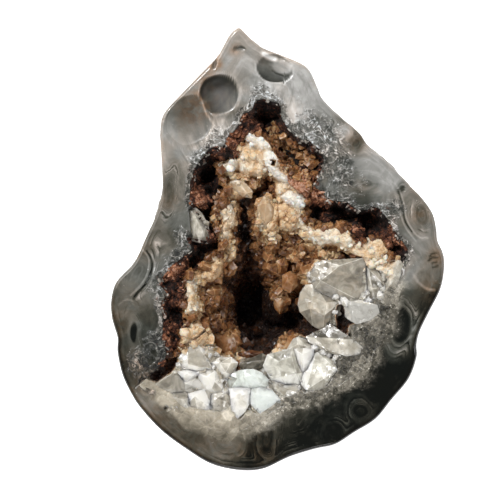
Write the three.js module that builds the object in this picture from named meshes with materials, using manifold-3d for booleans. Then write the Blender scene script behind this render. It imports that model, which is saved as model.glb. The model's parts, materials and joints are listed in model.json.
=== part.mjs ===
// Half of a plume agate geode, sawn through, polished on the cut and lying on its rounded back.
// Units are millimetres and +Z is up. X runs across the cut face and Y along it, towards the pointed end.
// The origin is on the resting surface, under the middle of the face.
import * as THREE from "three";
import { mergeVertices } from "three/addons/utils/BufferGeometryUtils.js";
import Module from "manifold-3d";

// Driving dimensions.
const FACE_HEIGHT = 21; // resting surface to polished face
const SPOKES = 84; // directions round the hollow in which every surface is sampled
const HUB = new THREE.Vector2(-1.6, -4.5); // middle of the hollow, which sees every outline whole
const REST_MIDDLE = new THREE.Vector2(-0.8, -2.6); // middle of the worn patch that the stone rests on
const FACE_BEVEL = 0.35; // softened arris round the polished face
const SEAM = 0.3; // clearance between neighbouring solids
const RUST_START = 4; // degrees, where the iron-stained lining begins, anticlockwise from +X
const RUST_END = 222;
const RUST_SHEET = 0.9; // thickness of the lining where the crust hides it
const RUST_LEAST = 0.35; // thickness that it keeps at the bottom of its voids
const RUST_ROUGHNESS = 0.45; // height of the lining's ripples
const CRUST_FLARE = 0.4; // share of the channel that the crust's foot fills
const CRUST_WALL_DEPTH = 6; // how far down the crust's wall leans out
const CRUST_GRAIN = 1.5; // facet size of the crystal ground
const CRUST_GRAIN_SHIFT = 0.9; // how far the facets' corners are scattered sideways, all told
const CRUST_ROUGHNESS = 0.7; // and up and down
const SAWN_DEPTH = 0.1; // the sawn quartz lies this far under the agate's polish
const SAWN_LIMIT = 0.42; // crust nearer to the face than this was cut flat by the saw

// The shell's hollow in section: share of its radius, and depth below the face.
const HOLLOW_PROFILE = [[1, 0], [0.965, 2.3], [0.9, 5.6], [0.8, 9.4], [0.66, 13.0], [0.45, 16.2], [0.2, 17.2]];

// Shares of the hollow's radius at which the lining and the crust's underside are shaped.
const LINING_SHARES = [0.965, 0.925, 0.875, 0.815, 0.745, 0.65, 0.4];
const LINING_INNER_SHARE = 0.65;

// The saw cut's outline, clockwise from the pointed end.
const OUTLINE = [
  [-4.7, 28.0], [-3.5, 26.8], [-2.0, 25.6], [0.5, 24.6], [2.9, 23.6], [4.1, 22.6], [5.1, 20.4],
  [5.8, 18.9], [8.2, 16.6], [10.4, 14.7], [11.5, 13.1], [13.9, 11.1], [16.5, 8.3], [18.2, 6.6],
  [19.6, 4.6], [20.1, 2.7], [20.3, 0.9], [21.0, -0.9], [21.1, -2.6], [20.6, -5.1], [19.2, -7.9],
  [18.0, -10.4], [17.6, -12.1], [17.6, -13.7], [16.6, -16.4], [14.4, -19.1], [12.4, -21.5],
  [9.7, -23.2], [7.3, -24.7], [4.7, -25.3], [1.5, -26.3], [-1.8, -27.8], [-4.8, -28.0],
  [-8.4, -27.2], [-11.6, -25.3], [-14.7, -23.0], [-17.3, -20.2], [-18.6, -18.2], [-19.7, -15.8],
  [-20.3, -13.0], [-20.3, -11.2], [-21.0, -8.7], [-21.1, -6.4], [-20.4, -4.1], [-18.2, -1.7],
  [-16.6, 1.7], [-15.2, 4.9], [-14.6, 7.8], [-14.8, 12.6], [-14.9, 14.9], [-14.4, 17.2],
  [-12.2, 19.7], [-9.5, 22.5], [-7.6, 24.5], [-6.2, 27.0], [-5.3, 27.9],
];

// Where the banded agate ends and the hollow, or the quartz that fills it, begins.
const AGATE_EDGE = [
  [-2.7, 19.1], [-0.9, 18.9], [0.4, 18.4], [0.6, 16.6], [2.3, 14.6], [4.3, 13.7], [5.7, 12.3],
  [5.8, 10.6], [4.7, 8.8], [5.3, 7.5], [6.8, 6.4], [8.7, 6.1], [10.1, 5.0], [11.4, 5.1],
  [12.9, 5.3], [14.3, 3.6], [15.4, 1.5], [16.5, -0.1], [15.8, -2.1], [15.1, -4.6], [14.3, -6.9],
  [13.7, -9.2], [13.0, -11.5], [11.6, -14.0], [9.9, -15.8], [7.1, -17.8], [4.1, -18.8],
  [1.0, -19.7], [-1.5, -21.1], [-4.1, -22.8], [-6.7, -23.2], [-9.5, -22.3], [-11.9, -20.8],
  [-14.2, -18.8], [-16.2, -17.7], [-17.1, -16.8], [-15.8, -16.0], [-14.9, -14.7], [-14.3, -13.5],
  [-14.7, -11.5], [-14.4, -9.2], [-14.9, -7.0], [-14.3, -5.6], [-14.9, -3.9], [-13.4, -2.1],
  [-11.1, -0.1], [-11.6, 1.5], [-9.1, 1.1], [-8.7, 2.0], [-10.1, 4.4], [-11.0, 5.8],
  [-11.1, 8.3], [-10.5, 10.4], [-9.5, 11.8], [-8.4, 13.0], [-7.2, 14.6], [-5.2, 15.6],
  [-4.4, 17.3], [-3.3, 17.8],
];

// The crystal crust's own edge where a rusty channel parts it from the agate, anticlockwise.
const CRUST_EDGE = [
  [15.6, -1.8], [14.4, -0.1], [13.5, 1.5], [11.3, 1.2], [10.0, 1.2], [8.7, 3.0], [6.8, 2.8],
  [4.6, 3.0], [2.8, 5.1], [3.4, 7.2], [1.5, 9.1], [0.0, 11.7], [-1.3, 13.9], [-2.4, 14.7],
  [-3.7, 15.1], [-4.6, 13.7], [-5.9, 12.1], [-7.8, 10.7], [-6.5, 9.1], [-6.1, 7.3], [-7.5, 5.0],
  [-7.8, 2.0], [-7.2, -0.1], [-9.0, -0.8], [-9.7, -2.2], [-11.5, -3.4], [-12.3, -5.4],
  [-12.2, -7.3], [-11.1, -9.2], [-12.5, -10.3], [-12.3, -11.7], [-12.7, -13.7], [-13.4, -15.6],
  [-14.6, -16.4], [-17.0, -17.0],
];

// The rusty lining's landforms in the channel: x, y and depth below the face.
const RUST_LANDFORMS = {
  leftVoid: [
    [-9.2, 9.1, 4.6], [-8.0, 10.3, 5.0], [-8.6, 7.5, 3.6], [-8.4, 4.4, 3.8], [-8.2, 0.6, 2.2],
    [-9.2, -1.6, 3.6], [-10.5, -1.6, 3.0],
  ],
  leftLedge: [[-9.9, 6.3, 0.9], [-12.4, -1.9, 1.3], [-13.0, -4.5, 0.9], [-12.8, -6.4, 0.7]],
  leftChannel: [
    [-12.4, -8.3, 3.0], [-13.4, -10.2, 1.7], [-13.0, -12.1, 2.6], [-14.2, -12.1, 0.8],
    [-14.3, -15.3, 2.4],
  ],
  topLedge: [[-4.8, 13.9, 1.1], [-6.7, 12.0, 0.7], [-4.8, 16.4, 1.7], [-3.3, 15.5, 0.8]],
  topVoid: [[-3.5, 17.3, 2.6], [-1.3, 17.0, 5.2], [-0.4, 15.8, 4.2], [0.6, 15.1, 3.0]],
  upperRightFloor: [
    [1.5, 12.6, 3.6], [2.8, 10.7, 3.4], [4.7, 12.0, 3.0], [0.6, 12.6, 4.4], [4.1, 9.2, 1.6],
  ],
  ridge: [[3.4, 7.8, 0.6], [5.3, 6.8, 0.8]],
  rightVoid: [
    [5.3, 4.4, 4.0], [8.5, 4.4, 4.6], [11.6, 3.1, 4.6], [13.5, 4.0, 3.0], [7.2, 4.1, 3.4],
    [15.7, -0.9, 2.2],
  ],
  rightLedge: [[14.2, 1.7, 1.0], [10.1, 1.8, 0.8]],
};

// The crust's landforms: x, y and depth below the face of spots that its surface passes through.
const LANDFORMS = {
  crest: [
    [-3.7, 14.1, 0.6], [-2.0, 13.2, 0.5], [-0.4, 11.3, 0.5], [1.1, 9.1, 0.6], [2.5, 6.8, 0.6],
    [2.2, 4.7, 1.0], [4.3, 2.1, 0.6], [6.6, 1.8, 0.4], [8.7, 1.6, 0.4], [10.5, -0.2, 0.4],
    [12.7, 0.3, 0.4], [14.1, -1.2, 0.3],
  ],
  saddle: [
    [-6.7, 10.9, 1.0], [-5.1, 11.8, 1.1], [-3.4, 10.6, 1.5], [-1.8, 9.8, 2.4], [-5.3, 7.4, 1.3],
    [-3.9, 7.9, 1.9], [1.0, 7.3, 2.0],
  ],
  knobs: [[-1.3, 5.3, 1.5], [0.1, 3.6, 1.6], [-1.5, 3.0, 2.2], [1.5, 2.6, 2.6], [-0.9, 1.6, 4.0]],
  leftRim: [
    [-6.6, 5.3, 0.6], [-6.7, 3.4, 0.5], [-7.5, 1.3, 0.7], [-8.5, -1.6, 1.0], [-10.5, -3.0, 0.6],
    [-11.4, -4.9, 0.5], [-11.4, -6.9, 0.5], [-11.1, -8.4, 0.9], [-10.5, -10.7, 0.6],
    [-9.4, -11.1, 1.2], [-11.1, -12.5, 0.6],
  ],
  leftWall: [
    [-5.7, 4.5, 2.6], [-5.9, 1.1, 3.0], [-6.6, -1.2, 3.6], [-8.7, -3.5, 2.2], [-8.9, -5.4, 3.6],
    [-7.8, -7.4, 5.5], [-6.6, -6.4, 8.5], [-9.1, -8.9, 3.4], [-7.2, -9.9, 6.0],
  ],
  slit: [
    [-2.8, 7.3, 4.5], [-1.1, 8.0, 4.8], [-3.0, 4.5, 5.0], [-4.4, 5.9, 8.0], [-4.4, 3.7, 10.0],
    [-4.9, 1.2, 11.0], [-5.4, -1.6, 12.0], [-5.8, -4.4, 13.0],
  ],
  farWall: [
    [-1.0, -0.3, 5.5], [1.1, 0.4, 4.0], [2.9, 0.6, 3.0], [6.6, -0.8, 2.6], [8.7, -0.9, 2.6],
    [-1.8, -2.3, 8.0], [1.0, -2.1, 5.5], [3.5, -1.6, 3.6], [-0.5, -4.6, 9.0], [2.2, -4.4, 6.8],
    [0.6, -7.0, 8.0], [3.0, -5.9, 7.5],
  ],
  pit: [
    [-2.0, -7.9, 15.0], [-3.8, -9.2, 14.5], [-0.1, -9.7, 14.0], [-2.3, -5.6, 14.5],
    [-4.3, -6.8, 14.0], [1.8, -9.7, 11.5], [3.3, -8.9, 9.0], [-2.0, -11.5, 12.0],
  ],
  lowStep: [
    [-8.1, -11.7, 3.2], [-6.3, -12.7, 3.8], [-4.7, -11.6, 7.0], [-4.7, -13.4, 6.5],
    [-2.5, -13.0, 7.0], [-0.3, -12.7, 7.5], [1.3, -11.7, 7.0],
  ],
  bigQuartz: [
    [5.3, -3.0, 0.5], [7.3, -2.6, 0.3], [9.4, -4.4, 0.1], [12.4, -3.4, 0.1], [8.1, -5.9, 0.4],
    [3.8, -6.9, 2.6], [5.4, -7.8, 1.6], [4.8, -9.3, 3.5], [6.7, -8.9, 1.0], [8.5, -9.2, 1.6],
    [9.9, -7.7, 0.1],
  ],
  lowQuartz: [
    [5.3, -10.9, 0.9], [2.8, -12.2, 0.9], [5.1, -12.8, 0.5], [1.0, -14.1, 0.6], [-0.6, -14.4, 1.0],
    [2.8, -15.4, 0.3], [7.8, -13.5, 0.1], [-2.5, -14.1, 3.4], [-4.1, -14.7, 2.8],
    [-3.5, -16.5, 1.2], [-5.4, -15.6, 1.6], [-6.8, -14.7, 0.8], [-9.1, -13.5, 0.7],
    [-10.4, -14.2, 0.4], [-9.7, -16.6, 0.3], [-1.3, -16.8, 0.6], [-5.9, -17.3, 0.9],
    [-12.4, -15.9, 0.3],
  ],
  sawnQuartz: [
    [-13.7, -18.0, 0.1], [-9.5, -19.8, 0.1], [-4.8, -20.1, 0.1], [0.9, -18.0, 0.1],
    [5.9, -16.5, 0.1], [11.0, -11.5, 0.1], [13.5, -6.4, 0.1],
  ],
};

// Smooth-walled bubbles in the polished face: middle, half sizes, turn in degrees.
const BUBBLE_RISE = 0.25; // height of their middles above the face
const BUBBLES = [
  { at: [-7.3, 19.5], half: [2.5, 2.4, 1.5], turn: 0 },
  { at: [-10.6, 16.9], half: [2.3, 1.9, 1.1], turn: 35 },
  { at: [-0.4, 22.7], half: [2.5, 1.5, 1.2], turn: -14 },
];

// Quartz points that stand out from a step away: root x, y, depth below the face, the heading in
// degrees of the way they point, their rise in degrees, their radius and their length to the tip.
const LARGE_POINTS = [
  [11.5, -3.9, 1.7, 172, 4, 2.4, 7.0],
  [8.6, -7.0, 3.2, 176, 10, 2.1, 5.6],
  [8.2, -2.2, 1.6, 165, 0, 1.5, 3.6],
  [6.9, -14.0, 2.2, 128, 14, 2.2, 4.6],
  [3.2, -15.6, 2.0, 110, 18, 2.0, 4.2],
  [-0.4, -16.6, 2.0, 95, 24, 1.7, 3.6],
  [-4.0, -17.6, 2.6, 88, 22, 1.8, 3.8],
  [-6.4, -17.0, 1.9, 70, 20, 1.5, 3.4],
  [-9.8, -16.4, 1.6, 66, 32, 1.6, 3.4],
  [-11.6, -13.4, 1.7, 36, 40, 1.4, 2.8],
  [-11.4, -7.6, 1.9, 10, 48, 1.1, 2.3],
  [-11.2, -4.8, 1.8, -12, 50, 1.1, 2.2],
  [-7.4, 1.6, 2.2, -20, 54, 1.1, 2.2],
  [-7.1, 4.2, 2.2, -24, 56, 1.2, 2.4],
  [-1.6, 5.0, 3.6, -84, 62, 1.7, 2.6],
  [-4.6, 7.9, 3.0, -60, 58, 1.1, 2.2],
  [0.4, -5.4, 9.5, -96, 6, 1.2, 3.0],
];
const SMALL_POINTS = {
  spacing: 2.9,
  radius: [0.8, 1.4],
  length: [2.0, 3.4],
  sunk: 0.45, // share of the length that is under the ground
  lean: 0.7, // scatter of their slopes
  steepest: 0.8, // slope of the ground beyond which they lean no farther
  upright: 0.55, // pull towards straight up
  margin: 0.6, // kept clear inside the crust's edge and round the pit
  seed: 11,
};
const QUARTZ_TIP = 1.15; // height of a quartz point's pyramid, in radii
const QUARTZ_PRISM = 0.2; // least share of a quartz point's length below its pyramid

// Open space kept free of quartz points in the deep pit: middle and half sizes in plan.
const PIT_ROOM = { at: [-2.1, -8.0], half: [3.3, 2.8] };

const wasm = await Module();
wasm.setup();

// A seeded random number from 0 to 1.
function seededRandom(seed) {
  let state = seed;
  return () => {
    state = (state * 16807) % 2147483647;
    return state / 2147483647;
  };
}

// The first spoke runs through the pointed end.
const tipAngle = Math.atan2(OUTLINE[0][1] - HUB.y, OUTLINE[0][0] - HUB.x);
const spokeAngle = (i) => tipAngle + (2 * Math.PI * i) / SPOKES;

// The farthest crossing of each spoke with a curve through the points, or null where there is none.
function spokeRadii(points, closed) {
  const curve = new THREE.CatmullRomCurve3(
    points.map(([x, y]) => new THREE.Vector3(x - HUB.x, y - HUB.y, 0)),
    closed,
    "centripetal",
  );
  const samples = curve.getPoints(points.length * 8);
  return Array.from({ length: SPOKES }, (_, i) => {
    const across = new THREE.Vector2(-Math.sin(spokeAngle(i)), Math.cos(spokeAngle(i)));
    const along = new THREE.Vector2(across.y, -across.x);
    let radius = null;
    for (let k = 1; k < samples.length; k++) {
      const [a, b] = [samples[k - 1], samples[k]];
      const [sideA, sideB] = [across.dot(a), across.dot(b)];
      if (sideA * sideB > 0 || sideA === sideB) continue;
      const share = sideA / (sideA - sideB);
      const reach = along.dot(a) * (1 - share) + along.dot(b) * share;
      if (reach > 0) radius = Math.max(radius ?? 0, reach);
    }
    return radius;
  });
}

const outlineRadii = spokeRadii(OUTLINE, true);
const agateRadii = spokeRadii(AGATE_EDGE, true);
const channelRadii = spokeRadii(CRUST_EDGE, false);
const crustRadii = agateRadii.map((agate, i) =>
  Math.min(agate - SEAM, channelRadii[i] ?? Infinity),
);

// One ring of a surface: a point on each spoke at radius(i) and height(i, x, y), round a middle.
function ring(radius, height, middle = HUB) {
  return Array.from({ length: SPOKES }, (_, i) => {
    const r = radius(i);
    const x = middle.x + r * Math.cos(spokeAngle(i));
    const y = middle.y + r * Math.sin(spokeAngle(i));
    return new THREE.Vector3(x, y, height(i, x, y));
  });
}

// A closed skin over rings that run outwards over the underside and back over the top.
function skin(bottomPole, rings, topPole) {
  const points = [bottomPole, ...rings.flat(), topPole];
  const top = points.length - 1;
  const at = (j, i) => 1 + j * SPOKES + (i % SPOKES);
  const faces = [];
  for (let i = 0; i < SPOKES; i++) {
    faces.push(0, at(0, i + 1), at(0, i), top, at(rings.length - 1, i), at(rings.length - 1, i + 1));
    for (let j = 1; j < rings.length; j++) {
      faces.push(at(j - 1, i), at(j - 1, i + 1), at(j, i));
      faces.push(at(j, i), at(j - 1, i + 1), at(j, i + 1));
    }
  }
  return solidOf(new THREE.BufferGeometry().setFromPoints(points).setIndex(faces));
}

// A closed geometry as a solid that can be joined and cut.
const MERGE_DISTANCE = 1e-4;

function solidOf(geometry) {
  const bare = geometry.clone();
  bare.deleteAttribute("normal");
  bare.deleteAttribute("uv");
  const merged = mergeVertices(bare, MERGE_DISTANCE);
  return new wasm.Manifold(
    new wasm.Mesh({
      numProp: 3,
      vertProperties: merged.attributes.position.array,
      triVerts: new Uint32Array(merged.index.array),
    }),
  );
}

function geometryOf(solid) {
  const mesh = solid.getMesh();
  return new THREE.BufferGeometry()
    .setAttribute("position", new THREE.BufferAttribute(mesh.vertProperties, 3))
    .setIndex(new THREE.BufferAttribute(mesh.triVerts, 1));
}

// The largest connected piece of a solid.
function largestPiece(solid) {
  return solid.decompose().reduce((best, piece) => (piece.volume() > best.volume() ? piece : best));
}

// The outline with its corners worn away, which the back takes on as it goes down.
const WEAR_REACH = 4;
const wornRadii = outlineRadii.map((_, i) => {
  const near = Array.from({ length: 2 * WEAR_REACH + 1 }, (_, k) => i + k - WEAR_REACH);
  return near.reduce((sum, k) => sum + outlineRadii[(k + SPOKES) % SPOKES], 0) / near.length;
});

// Rounded lumps of the rind, from -1 to 1, by the direction round the stone and the depth share.
function lumps(angle, depthShare) {
  return (
    0.36 * Math.sin(3 * angle + 5.2 * depthShare + 0.7) +
    0.34 * Math.sin(8 * angle - 7.1 * depthShare + 2.1) +
    0.3 * Math.sin(13 * angle + 15.3 * depthShare + 4.4)
  );
}

// The rounded back: rings from the worn resting patch up to the polished face.
const BACK_DEGREES = [85, 76, 66, 56, 46, 36, 26, 15, 5]; // round the back's section
const BACK_ROUNDNESS = 0.72;
const BACK_LUMP = 1.0;
const REST_CUT = 1.045; // above 1, the lowest part of the back is worn flat

function backRing(degrees) {
  const turn = THREE.MathUtils.degToRad(degrees);
  const depth = Math.min(1, REST_CUT * Math.sin(turn));
  const middle = HUB.clone().lerp(REST_MIDDLE, depth);
  const reach = (i) => THREE.MathUtils.lerp(outlineRadii[i], wornRadii[i], depth);
  const lumpSize = BACK_LUMP * Math.sin(2 * turn);
  return ring(
    (i) => reach(i) * Math.cos(turn) ** BACK_ROUNDNESS + lumpSize * lumps(spokeAngle(i), depth),
    () => FACE_HEIGHT * (1 - depth),
    middle,
  );
}

// The hollow's depth below the face at a share of its radius.
function hollowDepth(share) {
  const k = HOLLOW_PROFILE.findIndex(([profileShare]) => profileShare <= share);
  if (k === 0) return 0;
  if (k < 0) return HOLLOW_PROFILE.at(-1)[1];
  const [[outerShare, outerDepth], [innerShare, innerDepth]] = [HOLLOW_PROFILE[k - 1], HOLLOW_PROFILE[k]];
  const t = (share - innerShare) / (outerShare - innerShare);
  return THREE.MathUtils.lerp(innerDepth, outerDepth, t);
}

// The hollow's surface in the shell, raised by lift(i, share, x, y) above the shell itself.
const hollowRing = (share, lift) =>
  ring(
    (i) => agateRadii[i] * share,
    (i, x, y) => FACE_HEIGHT - hollowDepth(share) + lift(i, share, x, y),
  );
const hollowFloor = (lift) => new THREE.Vector3(HUB.x, HUB.y, FACE_HEIGHT - hollowDepth(0) + lift);

// The depth below the face at x, y, drawn smoothly through landform spots.
const SPOT_SOFTNESS = 0.35; // square millimetres: larger rounds the surface off
const SPOT_GRIP = 2.1; // how strongly the nearest spot wins

function depthThrough(spots, x, y) {
  let [sum, weights] = [0, 0];
  for (const [spotX, spotY, depth] of spots) {
    const weight = ((x - spotX) ** 2 + (y - spotY) ** 2 + SPOT_SOFTNESS) ** -SPOT_GRIP;
    sum += depth * weight;
    weights += weight;
  }
  return sum / weights;
}

const rustSpots = Object.values(RUST_LANDFORMS).flat();
const crustSpots = Object.values(LANDFORMS).flat();
const crustDepth = (x, y) => depthThrough(crustSpots, x, y);

// Degrees from the start of the lining's stretch to a spoke, anticlockwise.
const degreesIntoRust = (i) =>
  THREE.MathUtils.euclideanModulo(THREE.MathUtils.radToDeg(spokeAngle(i)) - RUST_START, 360);

// Crossed ripples on the lining, from -1 to 1.
const ripples = (x, y) => Math.sin(5.3 * x + 2.2 * y) * Math.sin(4.1 * y - 1.7 * x);

// The iron-stained lining's thickness on a spoke, which is 0 outside its stretch.
function rustThickness(i, share, x, y) {
  const covered = degreesIntoRust(i) < RUST_END - RUST_START && share >= LINING_INNER_SHARE;
  if (!covered) return 0;
  const room = hollowDepth(share) - SEAM;
  const hidden = agateRadii[i] * share < crustRadii[i];
  const surface = room - depthThrough(rustSpots, x, y) + RUST_ROUGHNESS * ripples(x, y);
  const height = hidden ? RUST_SHEET : surface;
  return THREE.MathUtils.clamp(height, RUST_LEAST, Math.max(RUST_LEAST, room - SEAM));
}

// Smooth-walled bubble hollows in the face.
function bubble({ at, half, turn }) {
  const ball = new THREE.SphereGeometry(1, 12, 8);
  ball.rotateX(Math.PI / 2);
  ball.scale(...half);
  ball.rotateZ(THREE.MathUtils.degToRad(turn));
  ball.translate(at[0], at[1], FACE_HEIGHT + BUBBLE_RISE);
  return solidOf(ball);
}

function makeShell() {
  const rings = [
    ...BACK_DEGREES.map(backRing),
    ring((i) => outlineRadii[i], () => FACE_HEIGHT - FACE_BEVEL),
    ring((i) => outlineRadii[i] - FACE_BEVEL, () => FACE_HEIGHT),
    ...HOLLOW_PROFILE.map(([share]) => hollowRing(share, () => 0)),
  ];
  const restPole = new THREE.Vector3(REST_MIDDLE.x, REST_MIDDLE.y, 0);
  return BUBBLES.reduce(
    (shell, spec) => shell.subtract(bubble(spec)),
    skin(restPole, rings, hollowFloor(0)),
  );
}

// The rusty lining: a curved sheet on the hollow's wall, open towards the sawn quartz.
function makeRust() {
  const spokes = Array.from({ length: SPOKES }, (_, i) => i)
    .filter((i) => degreesIntoRust(i) < RUST_END - RUST_START)
    .sort((a, b) => degreesIntoRust(a) - degreesIntoRust(b));
  const shares = LINING_SHARES.filter((share) => share >= LINING_INNER_SHARE);
  const under = shares.map((share) => hollowRing(share, () => SEAM));
  const over = shares.map((share) => hollowRing(share, (...at) => SEAM + rustThickness(...at)));
  const [rows, columns] = [shares.length, spokes.length];
  const points = [...under, ...over].flatMap((row) => spokes.map((i) => row[i]));
  const low = (j, i) => j * columns + i;
  const high = (j, i) => low(j, i) + rows * columns;
  const faces = [];
  const quad = (a, b, c, d) => faces.push(a, b, c, c, b, d);
  for (let i = 1; i < columns; i++) {
    for (let j = 1; j < rows; j++) {
      quad(high(j - 1, i - 1), high(j - 1, i), high(j, i - 1), high(j, i));
      quad(low(j - 1, i), low(j - 1, i - 1), low(j, i), low(j, i - 1));
    }
    quad(low(0, i - 1), low(0, i), high(0, i - 1), high(0, i));
    quad(low(rows - 1, i), low(rows - 1, i - 1), high(rows - 1, i), high(rows - 1, i - 1));
  }
  for (let j = 1; j < rows; j++) {
    quad(low(j, 0), low(j - 1, 0), high(j, 0), high(j - 1, 0));
    quad(low(j - 1, columns - 1), low(j, columns - 1), high(j - 1, columns - 1), high(j, columns - 1));
  }
  return solidOf(new THREE.BufferGeometry().setFromPoints(points).setIndex(faces));
}

// Everything under the crust: the shell's hollow and the lining on it, with a seam of clearance.
const CUTTER_MARGIN = 2; // how far the solids that cut the crust to shape reach past the stone

function makeBed() {
  const lift = (...at) => 2 * SEAM + rustThickness(...at);
  const rings = [
    ring((i) => outlineRadii[i] + CUTTER_MARGIN, () => -CUTTER_MARGIN),
    ring((i) => outlineRadii[i] + CUTTER_MARGIN, () => FACE_HEIGHT + CUTTER_MARGIN),
    ring((i) => agateRadii[i], () => FACE_HEIGHT + SEAM),
    ...LINING_SHARES.map((share) => hollowRing(share, lift)),
  ];
  return skin(new THREE.Vector3(HUB.x, HUB.y, -CUTTER_MARGIN), rings, hollowFloor(2 * SEAM));
}

// The crystal ground: a block whose faceted top follows the landforms.
function makeGround() {
  const area = new THREE.Box2().setFromPoints(AGATE_EDGE.map(([x, y]) => new THREE.Vector2(x, y)));
  const [size, middle] = [area.getSize(new THREE.Vector2()), area.getCenter(new THREE.Vector2())];
  const [columns, rows] = [size.x, size.y].map((side) => Math.round(side / CRUST_GRAIN));
  const block = new THREE.BoxGeometry(size.x, size.y, FACE_HEIGHT, columns, rows, 1);
  block.translate(middle.x, middle.y, 0);
  const random = seededRandom(5);
  const shifts = Array.from({ length: (columns + 1) * (rows + 1) }, () =>
    [random(), random(), random()].map((value) => value - 0.5),
  );
  const corner = block.attributes.position;
  for (let k = 0; k < corner.count; k++) {
    const column = Math.round((corner.getX(k) - area.min.x) / (size.x / columns));
    const row = Math.round((corner.getY(k) - area.min.y) / (size.y / rows));
    const [shiftX, shiftY, shiftZ] = shifts[row * (columns + 1) + column];
    const x = corner.getX(k) + CRUST_GRAIN_SHIFT * shiftX;
    const y = corner.getY(k) + CRUST_GRAIN_SHIFT * shiftY;
    const depth = crustDepth(x, y);
    const below = depth < SAWN_LIMIT ? SAWN_DEPTH : depth + CRUST_ROUGHNESS * shiftZ;
    corner.setXYZ(k, x, y, corner.getZ(k) > 0 ? FACE_HEIGHT - below : 0);
  }
  return solidOf(block);
}

// A six-sided quartz point from its root, flat or tapering, to the tip of its pyramid.
function quartzPoint(root, along, radius, length, foot) {
  const shoulder = Math.max(QUARTZ_PRISM * length, length - QUARTZ_TIP * radius);
  const profile = [...foot, [radius, shoulder], [0, length]];
  const point = new THREE.LatheGeometry(profile.map(([r, z]) => new THREE.Vector2(r, z)), 6);
  point.applyQuaternion(new THREE.Quaternion().setFromUnitVectors(new THREE.Vector3(0, 1, 0), along));
  point.translate(root.x, root.y, root.z);
  return solidOf(point);
}

function largePoint([x, y, depth, heading, rise, radius, length]) {
  const [turn, tilt] = [heading, rise].map(THREE.MathUtils.degToRad);
  const flat = Math.cos(tilt);
  const along = new THREE.Vector3(Math.cos(turn) * flat, Math.sin(turn) * flat, Math.sin(tilt));
  const flatFoot = [[0, 0], [radius, 0]];
  return quartzPoint(new THREE.Vector3(x, y, FACE_HEIGHT - depth), along, radius, length, flatFoot);
}

// Small points spread over the ground, standing out from it wherever the saw left it whole.
const SLOPE_STEP = 0.5; // distance over which the ground's slope is measured

function smallPoints() {
  const { spacing, radius, length, sunk, lean, steepest, upright, seed } = SMALL_POINTS;
  const random = seededRandom(seed);
  const between = ([low, high]) => low + (high - low) * random();
  const gentle = (slope) => THREE.MathUtils.clamp(slope, -steepest, steepest);
  const area = new THREE.Box2().setFromPoints(CRUST_EDGE.map(([x, y]) => new THREE.Vector2(x, y)));
  const points = [];
  for (let rowY = area.min.y - 2 * spacing; rowY < area.max.y; rowY += spacing) {
    for (let columnX = area.min.x; columnX < area.max.x; columnX += spacing) {
      const x = columnX + spacing * (random() - 0.5);
      const y = rowY + spacing * (random() - 0.5);
      const [size, reach] = [between(radius), between(length)];
      const [leanX, leanY] = [lean * (random() - 0.5), lean * (random() - 0.5)];
      if (!growsSmallPoints(x, y)) continue;
      const depth = crustDepth(x, y);
      const slopeX = gentle(crustDepth(x + SLOPE_STEP, y) - depth);
      const slopeY = gentle(crustDepth(x, y + SLOPE_STEP) - depth);
      const along = new THREE.Vector3(slopeX + leanX, slopeY + leanY, upright).normalize();
      const root = new THREE.Vector3(x, y, FACE_HEIGHT - depth).addScaledVector(along, -sunk * reach);
      points.push(quartzPoint(root, along, size, reach, [[0, 0]]));
    }
  }
  return points;
}

function growsSmallPoints(x, y) {
  const { margin } = SMALL_POINTS;
  const inRoom =
    Math.abs(x - PIT_ROOM.at[0]) < PIT_ROOM.half[0] + margin &&
    Math.abs(y - PIT_ROOM.at[1]) < PIT_ROOM.half[1] + margin;
  const turn = THREE.MathUtils.euclideanModulo(Math.atan2(y - HUB.y, x - HUB.x) - tipAngle, 2 * Math.PI);
  const spoke = Math.round((turn * SPOKES) / (2 * Math.PI)) % SPOKES;
  const inside = Math.hypot(x - HUB.x, y - HUB.y) < crustRadii[spoke] - margin;
  return inside && !inRoom && crustDepth(x, y) > SAWN_LIMIT;
}

// The whole plan of the crust, its wall flaring out below the face.
function crustPlan() {
  const footRadius = (i) => THREE.MathUtils.lerp(crustRadii[i], agateRadii[i], CRUST_FLARE);
  const top = FACE_HEIGHT + CUTTER_MARGIN;
  const rings = [
    ring(footRadius, () => SEAM),
    ring(footRadius, () => FACE_HEIGHT - CRUST_WALL_DEPTH),
    ring((i) => crustRadii[i], () => top),
  ];
  const [low, high] = [SEAM, top].map((z) => new THREE.Vector3(HUB.x, HUB.y, z));
  return skin(low, rings, high);
}

function makeCrust() {
  const points = [...LARGE_POINTS.map(largePoint), ...smallPoints()];
  const ground = makeGround().intersect(crustPlan());
  const grown = points.reduce((sum, point) => sum.add(point), ground);
  return largestPiece(grown.subtract(makeBed()).trimByPlane([0, 0, -1], SAWN_DEPTH - FACE_HEIGHT));
}

// Names, solids and finishes of the stone's parts.
function partMesh(name, solid, colour, roughness) {
  const material = new THREE.MeshStandardMaterial({ color: colour, roughness, metalness: 0 });
  const mesh = new THREE.Mesh(geometryOf(solid), material);
  mesh.name = name;
  return mesh;
}

const geode = new THREE.Group();
geode.add(
  partMesh("agate_shell", makeShell(), 0x74736f, 0.22),
  partMesh("rust_lining", makeRust(), 0x4a2113, 0.9),
  partMesh("crystal_crust", makeCrust(), 0xc9b79c, 0.35),
);

export default geode;
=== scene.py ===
"""Half of a plume agate geode, lying on its rounded back and seen from above.

Lengths are millimetres until a mesh is made. X runs across the cut face, Y along it towards the pointed
end, and Z up from the resting surface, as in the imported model.
"""

import json
import math
from itertools import product

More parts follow.
